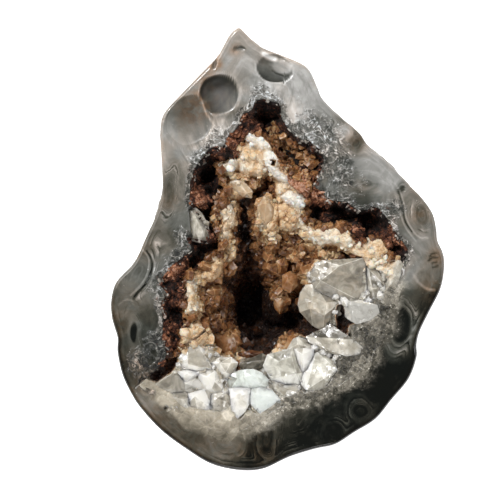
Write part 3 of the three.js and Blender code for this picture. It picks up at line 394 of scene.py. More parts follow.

# Large crystals, traced in photograph pixels: kind, depth of the top below the face, height, tone from
# 0, grey, to 1, white, iron, outline and the places of the top's corners. The grey tones and heavy iron
# of the crystals that stand deep by the pit, and of the back row beside it, are painted shade.
TRACED_CRYSTALS = [
    ("milky", 0.25, 3.2, 0.64, 0.2, [(314, 276), (319, 268), (325, 263), (345, 261), (361, 261), (365, 268),
     (366, 291), (361, 300), (350, 301), (330, 295), (318, 289)], [(324, 270), (340, 266), (341, 292),
     (321, 281)]),
    ("milky", 0.7, 2.6, 0.6, 0.1, [(364, 264), (374, 265), (384, 272), (385, 286), (376, 296), (366, 292)],
     [(370, 270), (378, 276), (373, 289)]),
    ("milky", 0.7, 3.6, 0.5, 0.22, [(303, 295), (308, 288), (315, 287), (330, 295), (341, 302), (336, 310),
     (335, 321), (323, 329), (314, 324), (303, 312), (301, 305)], [(313, 297), (327, 303), (325, 316),
     (311, 309)]),
    ("clear", 0.2, 2.2, 0.5, 0.06, [(346, 303), (362, 302), (376, 306), (378, 313), (369, 320), (357, 323),
     (349, 318)], [(352, 306), (370, 308), (366, 316), (354, 315)]),
    ("milky", 0.35, 2.6, 0.5, 0.08, [(310, 338), (325, 330), (332, 327), (337, 336), (352, 340), (361, 348),
     (357, 353), (345, 355), (328, 352), (313, 343)], [(325, 337), (338, 342), (350, 348), (330, 347)]),
    ("milky", 0.9, 2.6, 0.66, 0.04, [(289, 351), (295, 341), (299, 339), (306, 341), (314, 345), (317, 352),
     (312, 358), (299, 356)], [(298, 345), (307, 347), (303, 353)]),
    ("milky", 0.3, 3.0, 0.7, -0.15, [(266, 367), (270, 357), (285, 357), (292, 351), (298, 362), (303, 373),
     (300, 385), (288, 387), (273, 379)], [(279, 362), (292, 357), (297, 374), (281, 377)]),
    ("milky", 0.15, 2.6, 0.88, 0.0, [(296, 351), (304, 350), (314, 351), (313, 360), (308, 369), (304, 374),
     (299, 364)], [(303, 355), (309, 356), (304, 366)]),
    ("milky", 0.25, 2.8, 0.72, -0.12, [(305, 374), (310, 364), (314, 352), (321, 355), (326, 361),
     (334, 364), (335, 370), (330, 379), (322, 389), (308, 388), (302, 382)], [(315, 360), (328, 368),
     (318, 381), (308, 379)]),
    ("milky", 0.3, 2.0, 0.6, 0.1, [(271, 381), (285, 386), (300, 387), (297, 394), (285, 396), (276, 391)],
     [(280, 388), (292, 391)]),
    ("milky", 0.5, 2.4, 0.78, -0.4, [(229, 381), (232, 376), (241, 372), (253, 371), (262, 375), (268, 382),
     (268, 390), (250, 392), (233, 389)], [(238, 379), (252, 376), (262, 384), (244, 386)]),
    ("milky", 0.12, 2.4, 1.0, 0.0, [(231, 391), (240, 389), (250, 391), (251, 401), (245, 411), (238, 417),
     (233, 410)], [(237, 395), (247, 396), (240, 409)]),
    ("milky", 0.14, 2.4, 0.78, -0.4, [(250, 391), (260, 389), (271, 391), (279, 400), (273, 410),
     (261, 413), (250, 402)], [(256, 394), (269, 396), (264, 406)]),
    ("milky", 0.5, 2.8, 0.84, 0.16, [(212, 364), (220, 360), (231, 359), (237, 364), (233, 376), (228, 380),
     (220, 375)], [(220, 364), (231, 364), (226, 373)]),
    ("milky", 0.5, 2.8, 0.82, 0.16, [(180, 359), (188, 350), (197, 347), (205, 353), (211, 361), (211, 369),
     (203, 374), (190, 373), (181, 367)], [(190, 355), (202, 359), (200, 368), (188, 365)]),
    ("milky", 0.1, 2.4, 0.74, 0.06, [(190, 395), (204, 391), (213, 397), (211, 408), (199, 411),
     (188, 404)], [(195, 397), (207, 398), (205, 406)]),
    ("milky", 0.06, 2.4, 0.5, 0.1, [(212, 396), (224, 394), (233, 400), (230, 412), (218, 414), (210, 407)],
     [(217, 399), (227, 402), (219, 409)]),
    ("milky", 0.06, 2.4, 0.66, 0.1, [(167, 396), (182, 392), (191, 398), (188, 409), (175, 411),
     (165, 404)], [(173, 399), (184, 400), (178, 407)]),
    ("milky", 0.3, 2.6, 0.9, 0.06, [(199, 375), (206, 371), (215, 373), (221, 380), (222, 390), (220, 397),
     (211, 394), (204, 391)], [(207, 377), (215, 382), (212, 389)]),
    ("milky", 0.25, 2.4, 0.94, 0.1, [(178, 373), (190, 371), (200, 374), (192, 381), (186, 384),
     (180, 380)], [(187, 374), (192, 377)]),
    ("milky", 0.2, 2.2, 0.56, 0.1, [(155, 387), (165, 379), (175, 374), (182, 380), (184, 391), (172, 396),
     (160, 393)], [(166, 384), (176, 382), (176, 390)]),
    ("clear", 0.3, 2.0, 0.3, 0.3, [(184, 384), (195, 380), (204, 384), (204, 392), (194, 394), (185, 391)],
     [(192, 386), (199, 388)]),
    ("milky", 0.12, 2.4, 0.5, 0.12, GLASSY, [(195, 215), (201, 219), (204, 232), (196, 233)]),
    ("milky", 1.1, 2.4, 0.7, 0.42, [(231, 183), (238, 179), (246, 184), (252, 191), (251, 197), (243, 196),
     (235, 190)], [(238, 184), (247, 193)]),
    ("milky", 1.0, 2.6, 0.5, 0.44, [(259, 206), (266, 196), (271, 199), (277, 208), (275, 222), (266, 227),
     (259, 219)], [(266, 203), (271, 212), (265, 219)]),
    # From here on the crystals stand deep by the pit: their grey tones and heavy iron are painted shade.
    ("milky", 4.4, 3.0, 0.3, 0.6, [(211, 334), (222, 333), (233, 340), (236, 350), (231, 358), (220, 357),
     (212, 346)], [(216, 338), (227, 340), (229, 350), (218, 350)]),
    ("milky", 6.2, 3.0, 0.0, 0.86, [(238, 343), (247, 341), (253, 349), (245, 357), (237, 352)],
     [(244, 348)]),
    ("milky", 2.8, 3.0, 0.32, 0.6, [(226, 262), (232, 262), (237, 268), (234, 275), (228, 277), (224, 270)],
     [(229, 267), (232, 272)]),
    ("milky", 3.4, 3.0, 0.32, 0.6, [(284, 277), (291, 273), (297, 277), (298, 286), (291, 293), (284, 289)],
     [(288, 279), (294, 286)]),
    ("milky", 5.2, 3.0, 0.4, 0.6, [(275, 300), (282, 296), (288, 300), (287, 307), (281, 315), (276, 309)],
     [(282, 301), (281, 308)]),
    ("milky", 1.6, 2.6, 0.16, 0.14, [(241, 365), (252, 360), (262, 356), (269, 360), (266, 366), (258, 370),
     (251, 374), (242, 371)], [(252, 362), (262, 361), (253, 369)]),
    ("milky", 3.0, 3.0, 0.0, 0.56, [(285, 350), (290, 339), (298, 336), (311, 343), (303, 343), (295, 347),
     (292, 354), (286, 354)], [(292, 342), (289, 350)]),
    ("milky", 4.0, 3.0, 0.0, 0.8, [(239, 357), (250, 353), (262, 355), (258, 361), (246, 363)],
     [(251, 357)]),
]

# How milky the flat sawn quartz is, in photograph pixels.
MILK_SPOTS = [
    (155, 398, 0.57), (170, 386, 0.8), (178, 402, 0.6), (200, 400, 0.74), (215, 405, 0.7), (235, 425, 0.6),
    (225, 418, 0.76), (250, 418, 0.6), (262, 412, 0.55), (285, 393, 0.55), (292, 402, 0.4),
    (312, 396, 0.42), (330, 388, 0.22), (340, 378, 0.2), (346, 362, 0.26), (358, 346, 0.38),
    (368, 336, 0.1), (378, 326, 0.14), (386, 312, 0.18), (371, 312, 0.5), (372, 290, 0.68),
    (384, 276, 0.72), (396, 268, 0.74), (392, 298, 0.46), (160, 411, 0.5), (185, 427, 0.42),
    (215, 433, 0.42), (400, 276, 0.7), (225, 442, 0.26), (250, 430, 0.36), (240, 448, 0.16),
    (205, 438, 0.34),
]

# Numbers


def from_photo(pixels):
    """Places on the face for pixels of the photograph."""
    pixels = np.array(pixels, float)
    return np.column_stack([pixels[:, 0] - PHOTO_ZERO[0], PHOTO_ZERO[1] - pixels[:, 1]]) / PIXELS_PER_MM


def smooth_curve(points, closed, steps=10):
    """Points on a Catmull-Rom curve through the given ones."""
    knots = np.array(points, float)
    count = len(knots)
    spans = np.arange(count if closed else count - 1)
    around = [spans + k if closed else np.clip(spans + k, 0, count - 1) for k in (-1, 0, 1, 2)]
    a, b, c, d = (knots[index % count][:, None] for index in around)
    t = (np.arange(steps) / steps)[None, :, None]
    curve = b + 0.5 * t * (c - a + t * (2 * a - 5 * b + 4 * c - d + t * (3 * (b - c) + d - a)))
    last = knots[:1] if closed else knots[-1:]
    return np.vstack([curve.reshape(-1, 2), last])


def spoke_radii(points, closed, angles):
    """The farthest crossing of each spoke from the hub with a curve, or infinity for none."""
    curve = smooth_curve(points, closed) - HUB
    a, b = curve[:-1], curve[1:]
    along = np.stack([np.cos(angles), np.sin(angles)], 1)
    across = np.stack([-along[:, 1], along[:, 0]], 1)
    side_a, side_b = across @ a.T, across @ b.T
    share = side_a / np.where(side_a == side_b, 1.0, side_a - side_b)
    reach = (along @ a.T) * (1 - share) + (along @ b.T) * share
    hit = (side_a * side_b <= 0) & (side_a != side_b) & (reach > 0)
    best = np.where(hit, reach, -1.0).max(1)
    return np.where(best > 0, best, np.inf)


def spokes(count):
    """Angles of evenly spaced spokes, the first through the pointed end."""
    return TIP_ANGLE + np.linspace(0, 2 * math.pi, count, endpoint=False)


def radius_at(radii, angles):
    turns = np.mod(angles - TIP_ANGLE, 2 * math.pi) * len(radii) / (2 * math.pi)
    return np.interp(turns, np.arange(len(radii) + 1), np.append(radii, radii[0]))


def ring(reach, angles, height, middle=HUB):
    """Points round a middle, at one height or at a height each."""
    x, y = middle[0] + reach * np.cos(angles), middle[1] + reach * np.sin(angles)
    return np.stack([x, y, np.broadcast_to(height, angles.shape)], 1)


def spread_out(reach, angles):
    """Places on the face, for a grid of distances from the hub, as one list."""
    x, y = HUB[0] + reach * np.cos(angles), HUB[1] + reach * np.sin(angles)
    return np.stack([x.ravel(), y.ravel()], 1)


def random_cells(cells, seed):
    """A fixed random number from 0 to 1 for each whole-number cell."""
    mixed = np.full(cells.shape[:-1], seed * 2654435761 & 0xFFFFFFFF, np.uint64)
    for k, prime in enumerate((374761393, 668265263, 2246822519)[: cells.shape[-1]]):
        mixed = mixed + (cells[..., k].astype(np.int64) + 100000).astype(np.uint64) * np.uint64(prime)
    for shift, prime in ((13, 1274126177), (16, 2654435769), (15, 1)):
        mixed = mixed & np.uint64(0xFFFFFFFF)
        mixed = (mixed ^ (mixed >> np.uint64(shift))) * np.uint64(prime)
    return (mixed & np.uint64(0xFFFFFFFF)) / 0xFFFFFFFF


def noise(points, size, seed):
    """Smooth lumps of about a size, from -1 to 1."""
    places = points / size
    cells = np.floor(places)
    t = places - cells
    t = t * t * (3 - 2 * t)
    total = 0
    for corner in product((0, 1), repeat=points.shape[-1]):
        weight = np.prod(np.where(np.array(corner) == 1, t, 1 - t), -1)
        total = total + weight * random_cells(cells + corner, seed)
    return 2 * total - 1


def rough(points, size, seed, octaves=4):
    """Lumps on lumps, from about -1 to 1."""
    return sum(noise(points, size / 2**k, seed + k) / 2**k for k in range(octaves)) / 1.4


def wobble(xy, size, seed):
    """Smooth sideways shifts of places, from -1 to 1."""
    return np.stack([noise(xy, size, seed), noise(xy, size, seed + 1)], 1)


def facets(xy, size, seed):
    """Tilted flat facets, one for each random cell: their height in sizes, and a number for each."""
    cells = np.floor(xy / size)
    best = np.full(len(xy), np.inf)
    height, pick = np.zeros((2, len(xy)))
    for step in product((-1, 0, 1), repeat=2):
        near = cells + step
        shift_x, shift_y, tilt_x, tilt_y, lift = (random_cells(near, seed + k) for k in range(5))
        away = xy / size - near - np.stack([shift_x, shift_y], 1)
        distance = (away**2).sum(1)
        tilt = np.stack([tilt_x, tilt_y], 1) - 0.5
        closer = distance < best
        best = np.where(closer, distance, best)
        height = np.where(closer, 0.6 * lift + 1.1 * (away * tilt).sum(1), height)
        pick = np.where(closer, lift, pick)
    return height, pick


def between(value, low, high):
    """0 at low, 1 at high, and smooth in between."""
    t = np.clip((value - low) / (high - low), 0, 1)
    return t * t * (3 - 2 * t)


def toward(value, target, share):
    return value + (target - value) * share


def turned(xy, middle, degrees):
    """Places seen from a middle, along axes turned anticlockwise."""
    turn = math.radians(degrees)
    x, y = (xy - np.array(middle)).T
    return x * math.cos(turn) + y * math.sin(turn), y * math.cos(turn) - x * math.sin(turn)


def in_half_sizes(xy, middle, half_sizes, degrees):
    """Places seen from an ellipse's middle, in its half sizes, and their distance in the same measure."""
    x, y = turned(xy, middle, degrees)
    x, y = x / half_sizes[0], y / half_sizes[1]
    return x, y, np.sqrt(x**2 + y**2)


def glow(xy, middle, reach):
    """1 at a middle, fading over a reach."""
    return np.exp(-((xy - np.array(middle)) ** 2).sum(1) / reach**2)


def distance_to_edges(places, start, step):
    """Distance of places from the nearest of straight edges, given as starts and steps."""
    length = np.maximum((step**2).sum(1), 1e-12)
    nearest = []
    for part in np.array_split(places, len(places) // 1000 + 1):
        away = part[:, None] - start
        share = np.clip((away * step).sum(2) / length, 0, 1)
        nearest.append(np.sqrt(((away - share[:, :, None] * step) ** 2).sum(2).min(1)))
    return np.concatenate(nearest)


def distance_to(curve, xy):
    """Distance of places from a line of joined points."""
    return distance_to_edges(xy, curve[:-1], np.diff(curve, axis=0))


def inside_distance(outline, xy):
    """Distance of places from a closed outline, positive inside it."""
    closed = np.vstack([outline, outline[:1]])
    a, b = closed[:-1], closed[1:]
    x, y = xy[:, :1], xy[:, 1:]
    rise = np.where(b[:, 1] == a[:, 1], 1e-9, b[:, 1] - a[:, 1])
    crossing = a[:, 0] + (y - a[:, 1]) * (b[:, 0] - a[:, 0]) / rise
    odd = ((a[:, 1] > y) != (b[:, 1] > y)) & (x < crossing)
    return distance_to(closed, xy) * np.where(odd.sum(1) % 2 == 1, 1, -1)


def through(spots, values, xy, softness=0.35, grip=2.1):
    """Values given at spots, drawn smoothly through every place."""
    away = ((xy[:, None, :] - spots[None, :, :]) ** 2).sum(2)
    weights = (away + softness) ** -grip
    return (weights @ values) / weights.sum(1)[:, None]


def hollow_depth(share):
    shares, depths = np.array(HOLLOW_PROFILE[::-1], float).T
    return np.interp(share, shares, depths)


TIP_ANGLE = math.atan2(OUTLINE[0][1] - HUB[1], OUTLINE[0][0] - HUB[0])
TURN = spokes(1440)
OUTLINE_RADII = spoke_radii(OUTLINE, True, TURN)
AGATE_RADII = spoke_radii(AGATE_EDGE, True, TURN)
CRUST_RADII = np.minimum(AGATE_RADII, spoke_radii(CRUST_EDGE, False, TURN))
CHANNEL_END = np.clip((np.degrees(TURN) % 360 - 216.4) / 2.0, 0, 1) * (np.degrees(TURN) % 360 < 240)
CRUST_RADII += (AGATE_RADII - CRUST_RADII) * CHANNEL_END
WORN_RADII = np.mean([np.roll(OUTLINE_RADII, shift) for shift in range(-70, 71, 10)], 0)
RAGGED_EDGE = 0.32 * rough(14 * np.stack([np.cos(TURN), np.sin(TURN)], 1), 1.6, 15, 5)
RAGGED_RADII = AGATE_RADII + RAGGED_EDGE
SPOKES = 720  # round the agate and the crust's ground

# Meshes


def skin(rings, bottom, top):
    """A closed surface over rings that run outwards over the underside and back over the top."""
    rows, columns = rings.shape[:2]
    points = np.vstack([[bottom], rings.reshape(-1, 3), [top]])
    index = 1 + np.arange(rows * columns).reshape(rows, columns)
    after = np.roll(index, -1, 1)
    quads = np.stack([index[:-1], after[:-1], after[1:], index[1:]], 2).reshape(-1, 4)
    under = [(0, b, a) for a, b in zip(index[0], after[0])]
    over = [(len(points) - 1, a, b) for a, b in zip(index[-1], after[-1])]
    return points, under + quads.tolist() + over


def sheet_faces(rows, columns):
    """Faces of a closed slab whose top grid of points comes before its bottom grid."""
    top = np.arange(rows * columns).reshape(rows, columns)
    low = top + rows * columns

    def quads(a, b, c, d):
        return np.stack([a, b, c, d], -1).reshape(-1, 4).tolist()

    return (
        quads(top[:-1, :-1], top[:-1, 1:], top[1:, 1:], top[1:, :-1])
        + quads(low[:-1, :-1], low[1:, :-1], low[1:, 1:], low[:-1, 1:])
        + quads(top[0, 1:], top[0, :-1], low[0, :-1], low[0, 1:])
        + quads(top[-1, :-1], top[-1, 1:], low[-1, 1:], low[-1, :-1])
        + quads(top[:-1, 0], top[1:, 0], low[1:, 0], low[:-1, 0])
        + quads(top[1:, -1], top[:-1, -1], low[:-1, -1], low[1:, -1])
    )


def link_object(name, data):
    """A new object in the scene."""
    piece = bpy.data.objects.new(name, data)
    bpy.context.scene.collection.objects.link(piece)
    return piece


def add_numbers(mesh, fields, domain="POINT"):
    for name, values in fields.items():
        numbers = mesh.attributes.new(name, "FLOAT", domain)
        numbers.data.foreach_set("value", np.asarray(values, np.float32))


def new_object(name, points, faces, fields, smooth=True):
    """A mesh object from points in millimetres, with named numbers on its points."""
    mesh = bpy.data.meshes.new(name)
    mesh.from_pydata((np.asarray(points) * MM).tolist(), [], faces)
    add_numbers(mesh, fields)
    mesh.polygons.foreach_set("use_smooth", [smooth] * len(mesh.polygons))
    mesh.update()
    return link_object(name, mesh)


def join_as_part(piece, node=None):
    """Makes a piece part of the stone."""
    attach(piece, "root")
    if node:
        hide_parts(node)


def face_out(mesh, saw_height=None):
    """Points a mesh's faces out, after the saw has cut it flat at a height, if one is given."""
    shape = bmesh.new()
    shape.from_mesh(mesh)
    if saw_height is not None:
        cut = bmesh.ops.bisect_plane(
            shape,
            geom=shape.verts[:] + shape.edges[:] + shape.faces[:],
            dist=1e-7,
            plane_co=(0, 0, saw_height * MM),
            plane_no=(0, 0, 1),
            clear_outer=True,
        )
        edges = [e for e in cut["geom_cut"] if isinstance(e, bmesh.types.BMEdge) and e.is_boundary]
        bmesh.ops.edgeloop_fill(shape, edges=edges)
    bmesh.ops.recalc_face_normals(shape, faces=shape.faces)
    shape.to_mesh(mesh)
    shape.free()


# Nodes


class Nodes:
    """A node tree that is built up node by node."""

    def __init__(self, tree):
        self.tree = tree

    def new(self, kind, inputs, **settings):
        """A node with its settings and inputs. An input is a number, a colour or another socket."""
        node = self.tree.nodes.new(kind)
        for name, value in settings.items():
            setattr(node, name, value)
        self.fill(node.inputs, inputs)
        return node

    def add(self, kind, inputs=None, **settings):
        """A shader node."""
        return self.new("ShaderNode" + kind, inputs or {}, **settings)

    def fill(self, sockets, values):
        for name, value in values.items():
            self.put(sockets[name], value)

    def put(self, socket, value):
        if isinstance(value, bpy.types.NodeSocket):
            self.tree.links.new(value, socket)
        elif socket.type == "RGBA" and len(value) == 3:
            socket.default_value = (*value, 1.0)
        else:
            socket.default_value = value

    def math(self, operation, *values, clamp=False):
        return self.add("Math", dict(enumerate(values)), operation=operation, use_clamp=clamp).outputs[0]

    def vector(self, operation, *values, **inputs):
        return self.add("VectorMath", {**dict(enumerate(values)), **inputs}, operation=operation).outputs[0]

    def times(self, a, b):
        return self.math("MULTIPLY", a, b)

    def more(self, base, value, amount):
        """A base with so much of another value added."""
        return self.math("MULTIPLY_ADD", value, amount, base)

    def centred(self, value):
        return self.math("SUBTRACT", value, 0.5)

    def sway(self, base, value, amount):
        """A base that a 0 to 1 value pushes up or down."""
        return self.more(base, self.centred(value), amount)

    def line(self, value, width):
        """1 where a 0 to 1 value crosses the middle, and 0 beyond a width."""
        return self.between(self.math("ABSOLUTE", self.centred(value)), width, 0.0)

    def mix(self, factor, a, b, blend="MIX"):
        """A mix of two colours."""
        inputs = {0: factor, 6: a, 7: b}
        return self.add("Mix", inputs, data_type="RGBA", blend_type=blend).outputs[2]

    def ramp(self, factor, *stops):
        """Colours along a 0 to 1 value, from (place, colour) pairs."""
        node = self.add("ValToRGB", {"Fac": factor})
        elements = node.color_ramp.elements
        while len(elements) < len(stops):
            elements.new(0.5)
        for element, (place, colour) in zip(elements, stops):
            element.position = place
            element.color = (*colour, 1.0)
        return node.outputs["Color"]

    def between(self, value, low, high):
        """0 where a value is low, 1 where it is high."""
        inputs = {"Value": value, "From Min": low, "From Max": high}
        return self.add("MapRange", inputs, interpolation_type="SMOOTHSTEP").outputs["Result"]

    def field(self, name):
        return self.add("Attribute", attribute_name=name).outputs["Fac"]

    def place(self):
        """Places in millimetres."""
        return self.vector("SCALE", self.add("TexCoord").outputs["Object"], Scale=1 / MM)

    def noise(self, vector, size, detail=4.0, distortion=0.0, roughness=0.55):
        inputs = {"Vector": vector, "Scale": 1 / size, "Detail": detail, "Roughness": roughness}
        return self.add("TexNoise", {**inputs, "Distortion": distortion}).outputs["Fac"]

    def noise_along(self, value, scale, detail, roughness):
        """Noise along one value."""
        inputs = {"W": value, "Scale": scale, "Detail": detail, "Roughness": roughness}
        return self.add("TexNoise", inputs, noise_dimensions="1D").outputs["Fac"]

    def bump(self, height, distance, strength=1.0, normal=None):
        inputs = {"Height": height, "Distance": distance * MM, "Strength": strength}
        if normal is not None:
            inputs["Normal"] = normal
        return self.add("Bump", inputs).outputs["Normal"]

    def group(self, tree, **inputs):
        return self.add("Group", inputs, node_tree=tree).outputs


def new_group(name, inputs, outputs, kind="ShaderNodeTree"):
    """A node group with inputs and outputs, each given by its name and kind."""
    tree = bpy.data.node_groups.new(name, kind)
    for way, sockets in (("INPUT", inputs), ("OUTPUT", outputs)):
        for label, socket_kind in sockets.items():
            tree.interface.new_socket(label, in_out=way, socket_type="NodeSocket" + socket_kind)
    return Nodes(tree), tree.nodes.new("NodeGroupInput").outputs


def give(nodes, **results):
    """Leads results to the outputs of a group."""
    nodes.new("NodeGroupOutput", results)
    return nodes.tree


def make_grain_group():
    """Interlocking crystal grains, as a sawn or broken surface shows them."""
    shader, given = new_group(
        "crystal grain",
        {"Place": "Vector", "Size": "Float", "Warp": "Float"},
        {"Tone": "Float", "Seams": "Float", "Height": "Float", "Facets": "Float"},
    )
    scale = shader.math("DIVIDE", 1.0, given["Size"])
    wobble = shader.add("TexNoise", {"Vector": given["Place"], "Scale": scale, "Detail": 3.0})
    amount = shader.times(given["Warp"], given["Size"])
    shift = shader.vector("SCALE", wobble.outputs["Color"], Scale=amount)
    warped = shader.vector("ADD", given["Place"], shift)
    cells = shader.add("TexVoronoi", {"Vector": warped, "Scale": scale}).outputs
    seams = shader.add("TexVoronoi", {"Vector": warped, "Scale": scale}, feature="DISTANCE_TO_EDGE")
    tone = shader.add("SeparateColor", {"Color": cells["Color"]}).outputs["Red"]
    edge = shader.between(seams.outputs["Distance"], 0.0, 0.09)
    away = shader.vector("SUBTRACT", warped, cells["Position"])
    tilt = shader.vector("SUBTRACT", cells["Color"], (0.5, 0.5, 0.5))
    tilted = shader.add("VectorMath", {0: away, 1: tilt}, operation="DOT_PRODUCT").outputs["Value"]
    height = shader.more(shader.times(edge, 0.3), tone, 0.7)
    return give(shader, Facets=tilted, Tone=tone, Seams=shader.math("SUBTRACT", 1.0, edge), Height=height)


def make_stain_group():
    """The colour of quartz by how much iron stains it, with clouds of stain in it."""
    shader, given = new_group(
        "iron stain",
        {"Place": "Vector", "Iron": "Float", "Clouds": "Float"},
        {"Color": "Color", "Iron": "Float"},
    )
    cloud = shader.noise(given["Place"], 1.3, 5.0, 0.6)
    shift = shader.times(shader.centred(cloud), given["Clouds"])
    iron = shader.math("ADD", given["Iron"], shader.times(shift, 2.2), clamp=True)
    colour = shader.ramp(
        iron,
        (0.0, (0.95, 0.9, 0.815)),
        (0.2, (0.84, 0.73, 0.575)),
        (0.4, (0.72, 0.49, 0.28)),
        (0.6, (0.31, 0.145, 0.056)),
        (0.8, (0.1, 0.038, 0.016)),
        (1.0, (0.016, 0.008, 0.005)),
    )
    return give(shader, Color=colour, Iron=iron)


# Quartz from grey and glassy to white and milky.
MILK_RAMP = [
    (0.0, (0.03, 0.028, 0.022)),
    (0.25, (0.105, 0.096, 0.076)),
    (0.5, (0.25, 0.228, 0.186)),
    (0.75, (0.48, 0.445, 0.375)),
    (1.0, (0.9, 0.855, 0.765)),
]


def make_sawn_group():
    """Milky quartz grains on the saw cut, with clear grey ones among them."""
    shader, given = new_group(
        "sawn quartz",
        {"Place": "Vector", "Milk": "Float", "Specks": "Float"},
        {"Color": "Color"},
    )
    place = given["Place"]
    coarse = shader.group(GRAIN, Place=place, Size=1.5, Warp=0.8)
    fine = shader.group(GRAIN, Place=place, Size=0.34, Warp=1.2)
    speck = shader.noise(place, 0.28, 3.0, 1.0)
    cloud = shader.centred(shader.noise(place, 1.9, 6.0, 1.4, 0.62))
    clear = shader.times(shader.between(given["Milk"], 0.85, 0.35), given["Specks"])
    milk = shader.sway(given["Milk"], coarse["Tone"], shader.more(0.16, clear, 0.2))
    milk = shader.sway(milk, fine["Tone"], shader.more(0.03, clear, 0.3))
    milk = shader.more(milk, cloud, 0.7)
    # White specks, far more among the clear grains: partly milky grains, partly painted glints.
    milk = shader.more(milk, shader.between(speck, 0.6, 0.7), shader.more(0.04, clear, 0.45))
    milk = shader.more(milk, shader.between(speck, 0.38, 0.3), shader.times(clear, -0.3))
    colour = shader.ramp(shader.more(milk, coarse["Seams"], 0.06), *MILK_RAMP)
    cream = shader.mix(1.0, colour, (1.02, 0.98, 0.92), "MULTIPLY")
    return give(shader, Color=shader.mix(given["Specks"], cream, colour))


GRAIN = make_grain_group()
STAIN = make_stain_group()
SAWN = make_sawn_group()

# Materials

QUARTZ_IOR = 1.54


def new_material(name):
    material = bpy.data.materials.new(name)
    material.use_nodes = True
    return material, Nodes(material.node_tree)


def dress(material, shader, looks):
    """Sets inputs of a material's surface."""
    shader.fill(shader.tree.nodes["Principled BSDF"].inputs, looks)
    return material


def rust_colour(shader, place, bright):
    """Iron oxide from black-brown through red-brown to orange and pinkish flakes, with painted shade in its
    pores.
    """
    lumps = shader.noise(place, 0.55, 6.0, 0.9, 0.65)
    value = shader.more(shader.more(-0.72, lumps, 1.5), bright, 0.6)
    value = shader.more(value, shader.field("pick"), 0.25)
    # Painted shade: noise patches darkened to near black as the pores between the flakes.
    void = shader.between(shader.noise(place, 1.5, 3.0, 1.2), 0.52, 0.4)
    value = shader.more(value, void, -0.3)
    flake = shader.between(shader.noise(place, 0.42, 2.0, 1.8), 0.56, 0.66)
    return lumps, shader.ramp(
        shader.more(value, flake, shader.more(0.36, void, -0.3)),
        (0.0, (0.006, 0.003, 0.002)),
        (0.22, (0.026, 0.009, 0.005)),
        (0.42, (0.085, 0.026, 0.012)),
        (0.6, (0.2, 0.068, 0.03)),
        (0.78, (0.42, 0.18, 0.085)),
        (1.0, (0.56, 0.34, 0.25)),
    )


def drawn_out(shader, across, along, **looks):
    """Noise that is drawn out along the bands, from -0.5 to 0.5."""
    place = shader.add("CombineXYZ", {"X": across, "Y": along}).outputs[0]
    inputs = {"Vector": place, "Scale": 1.0, "Roughness": 0.6, **looks}
    return shader.centred(shader.add("TexNoise", inputs).outputs["Fac"])


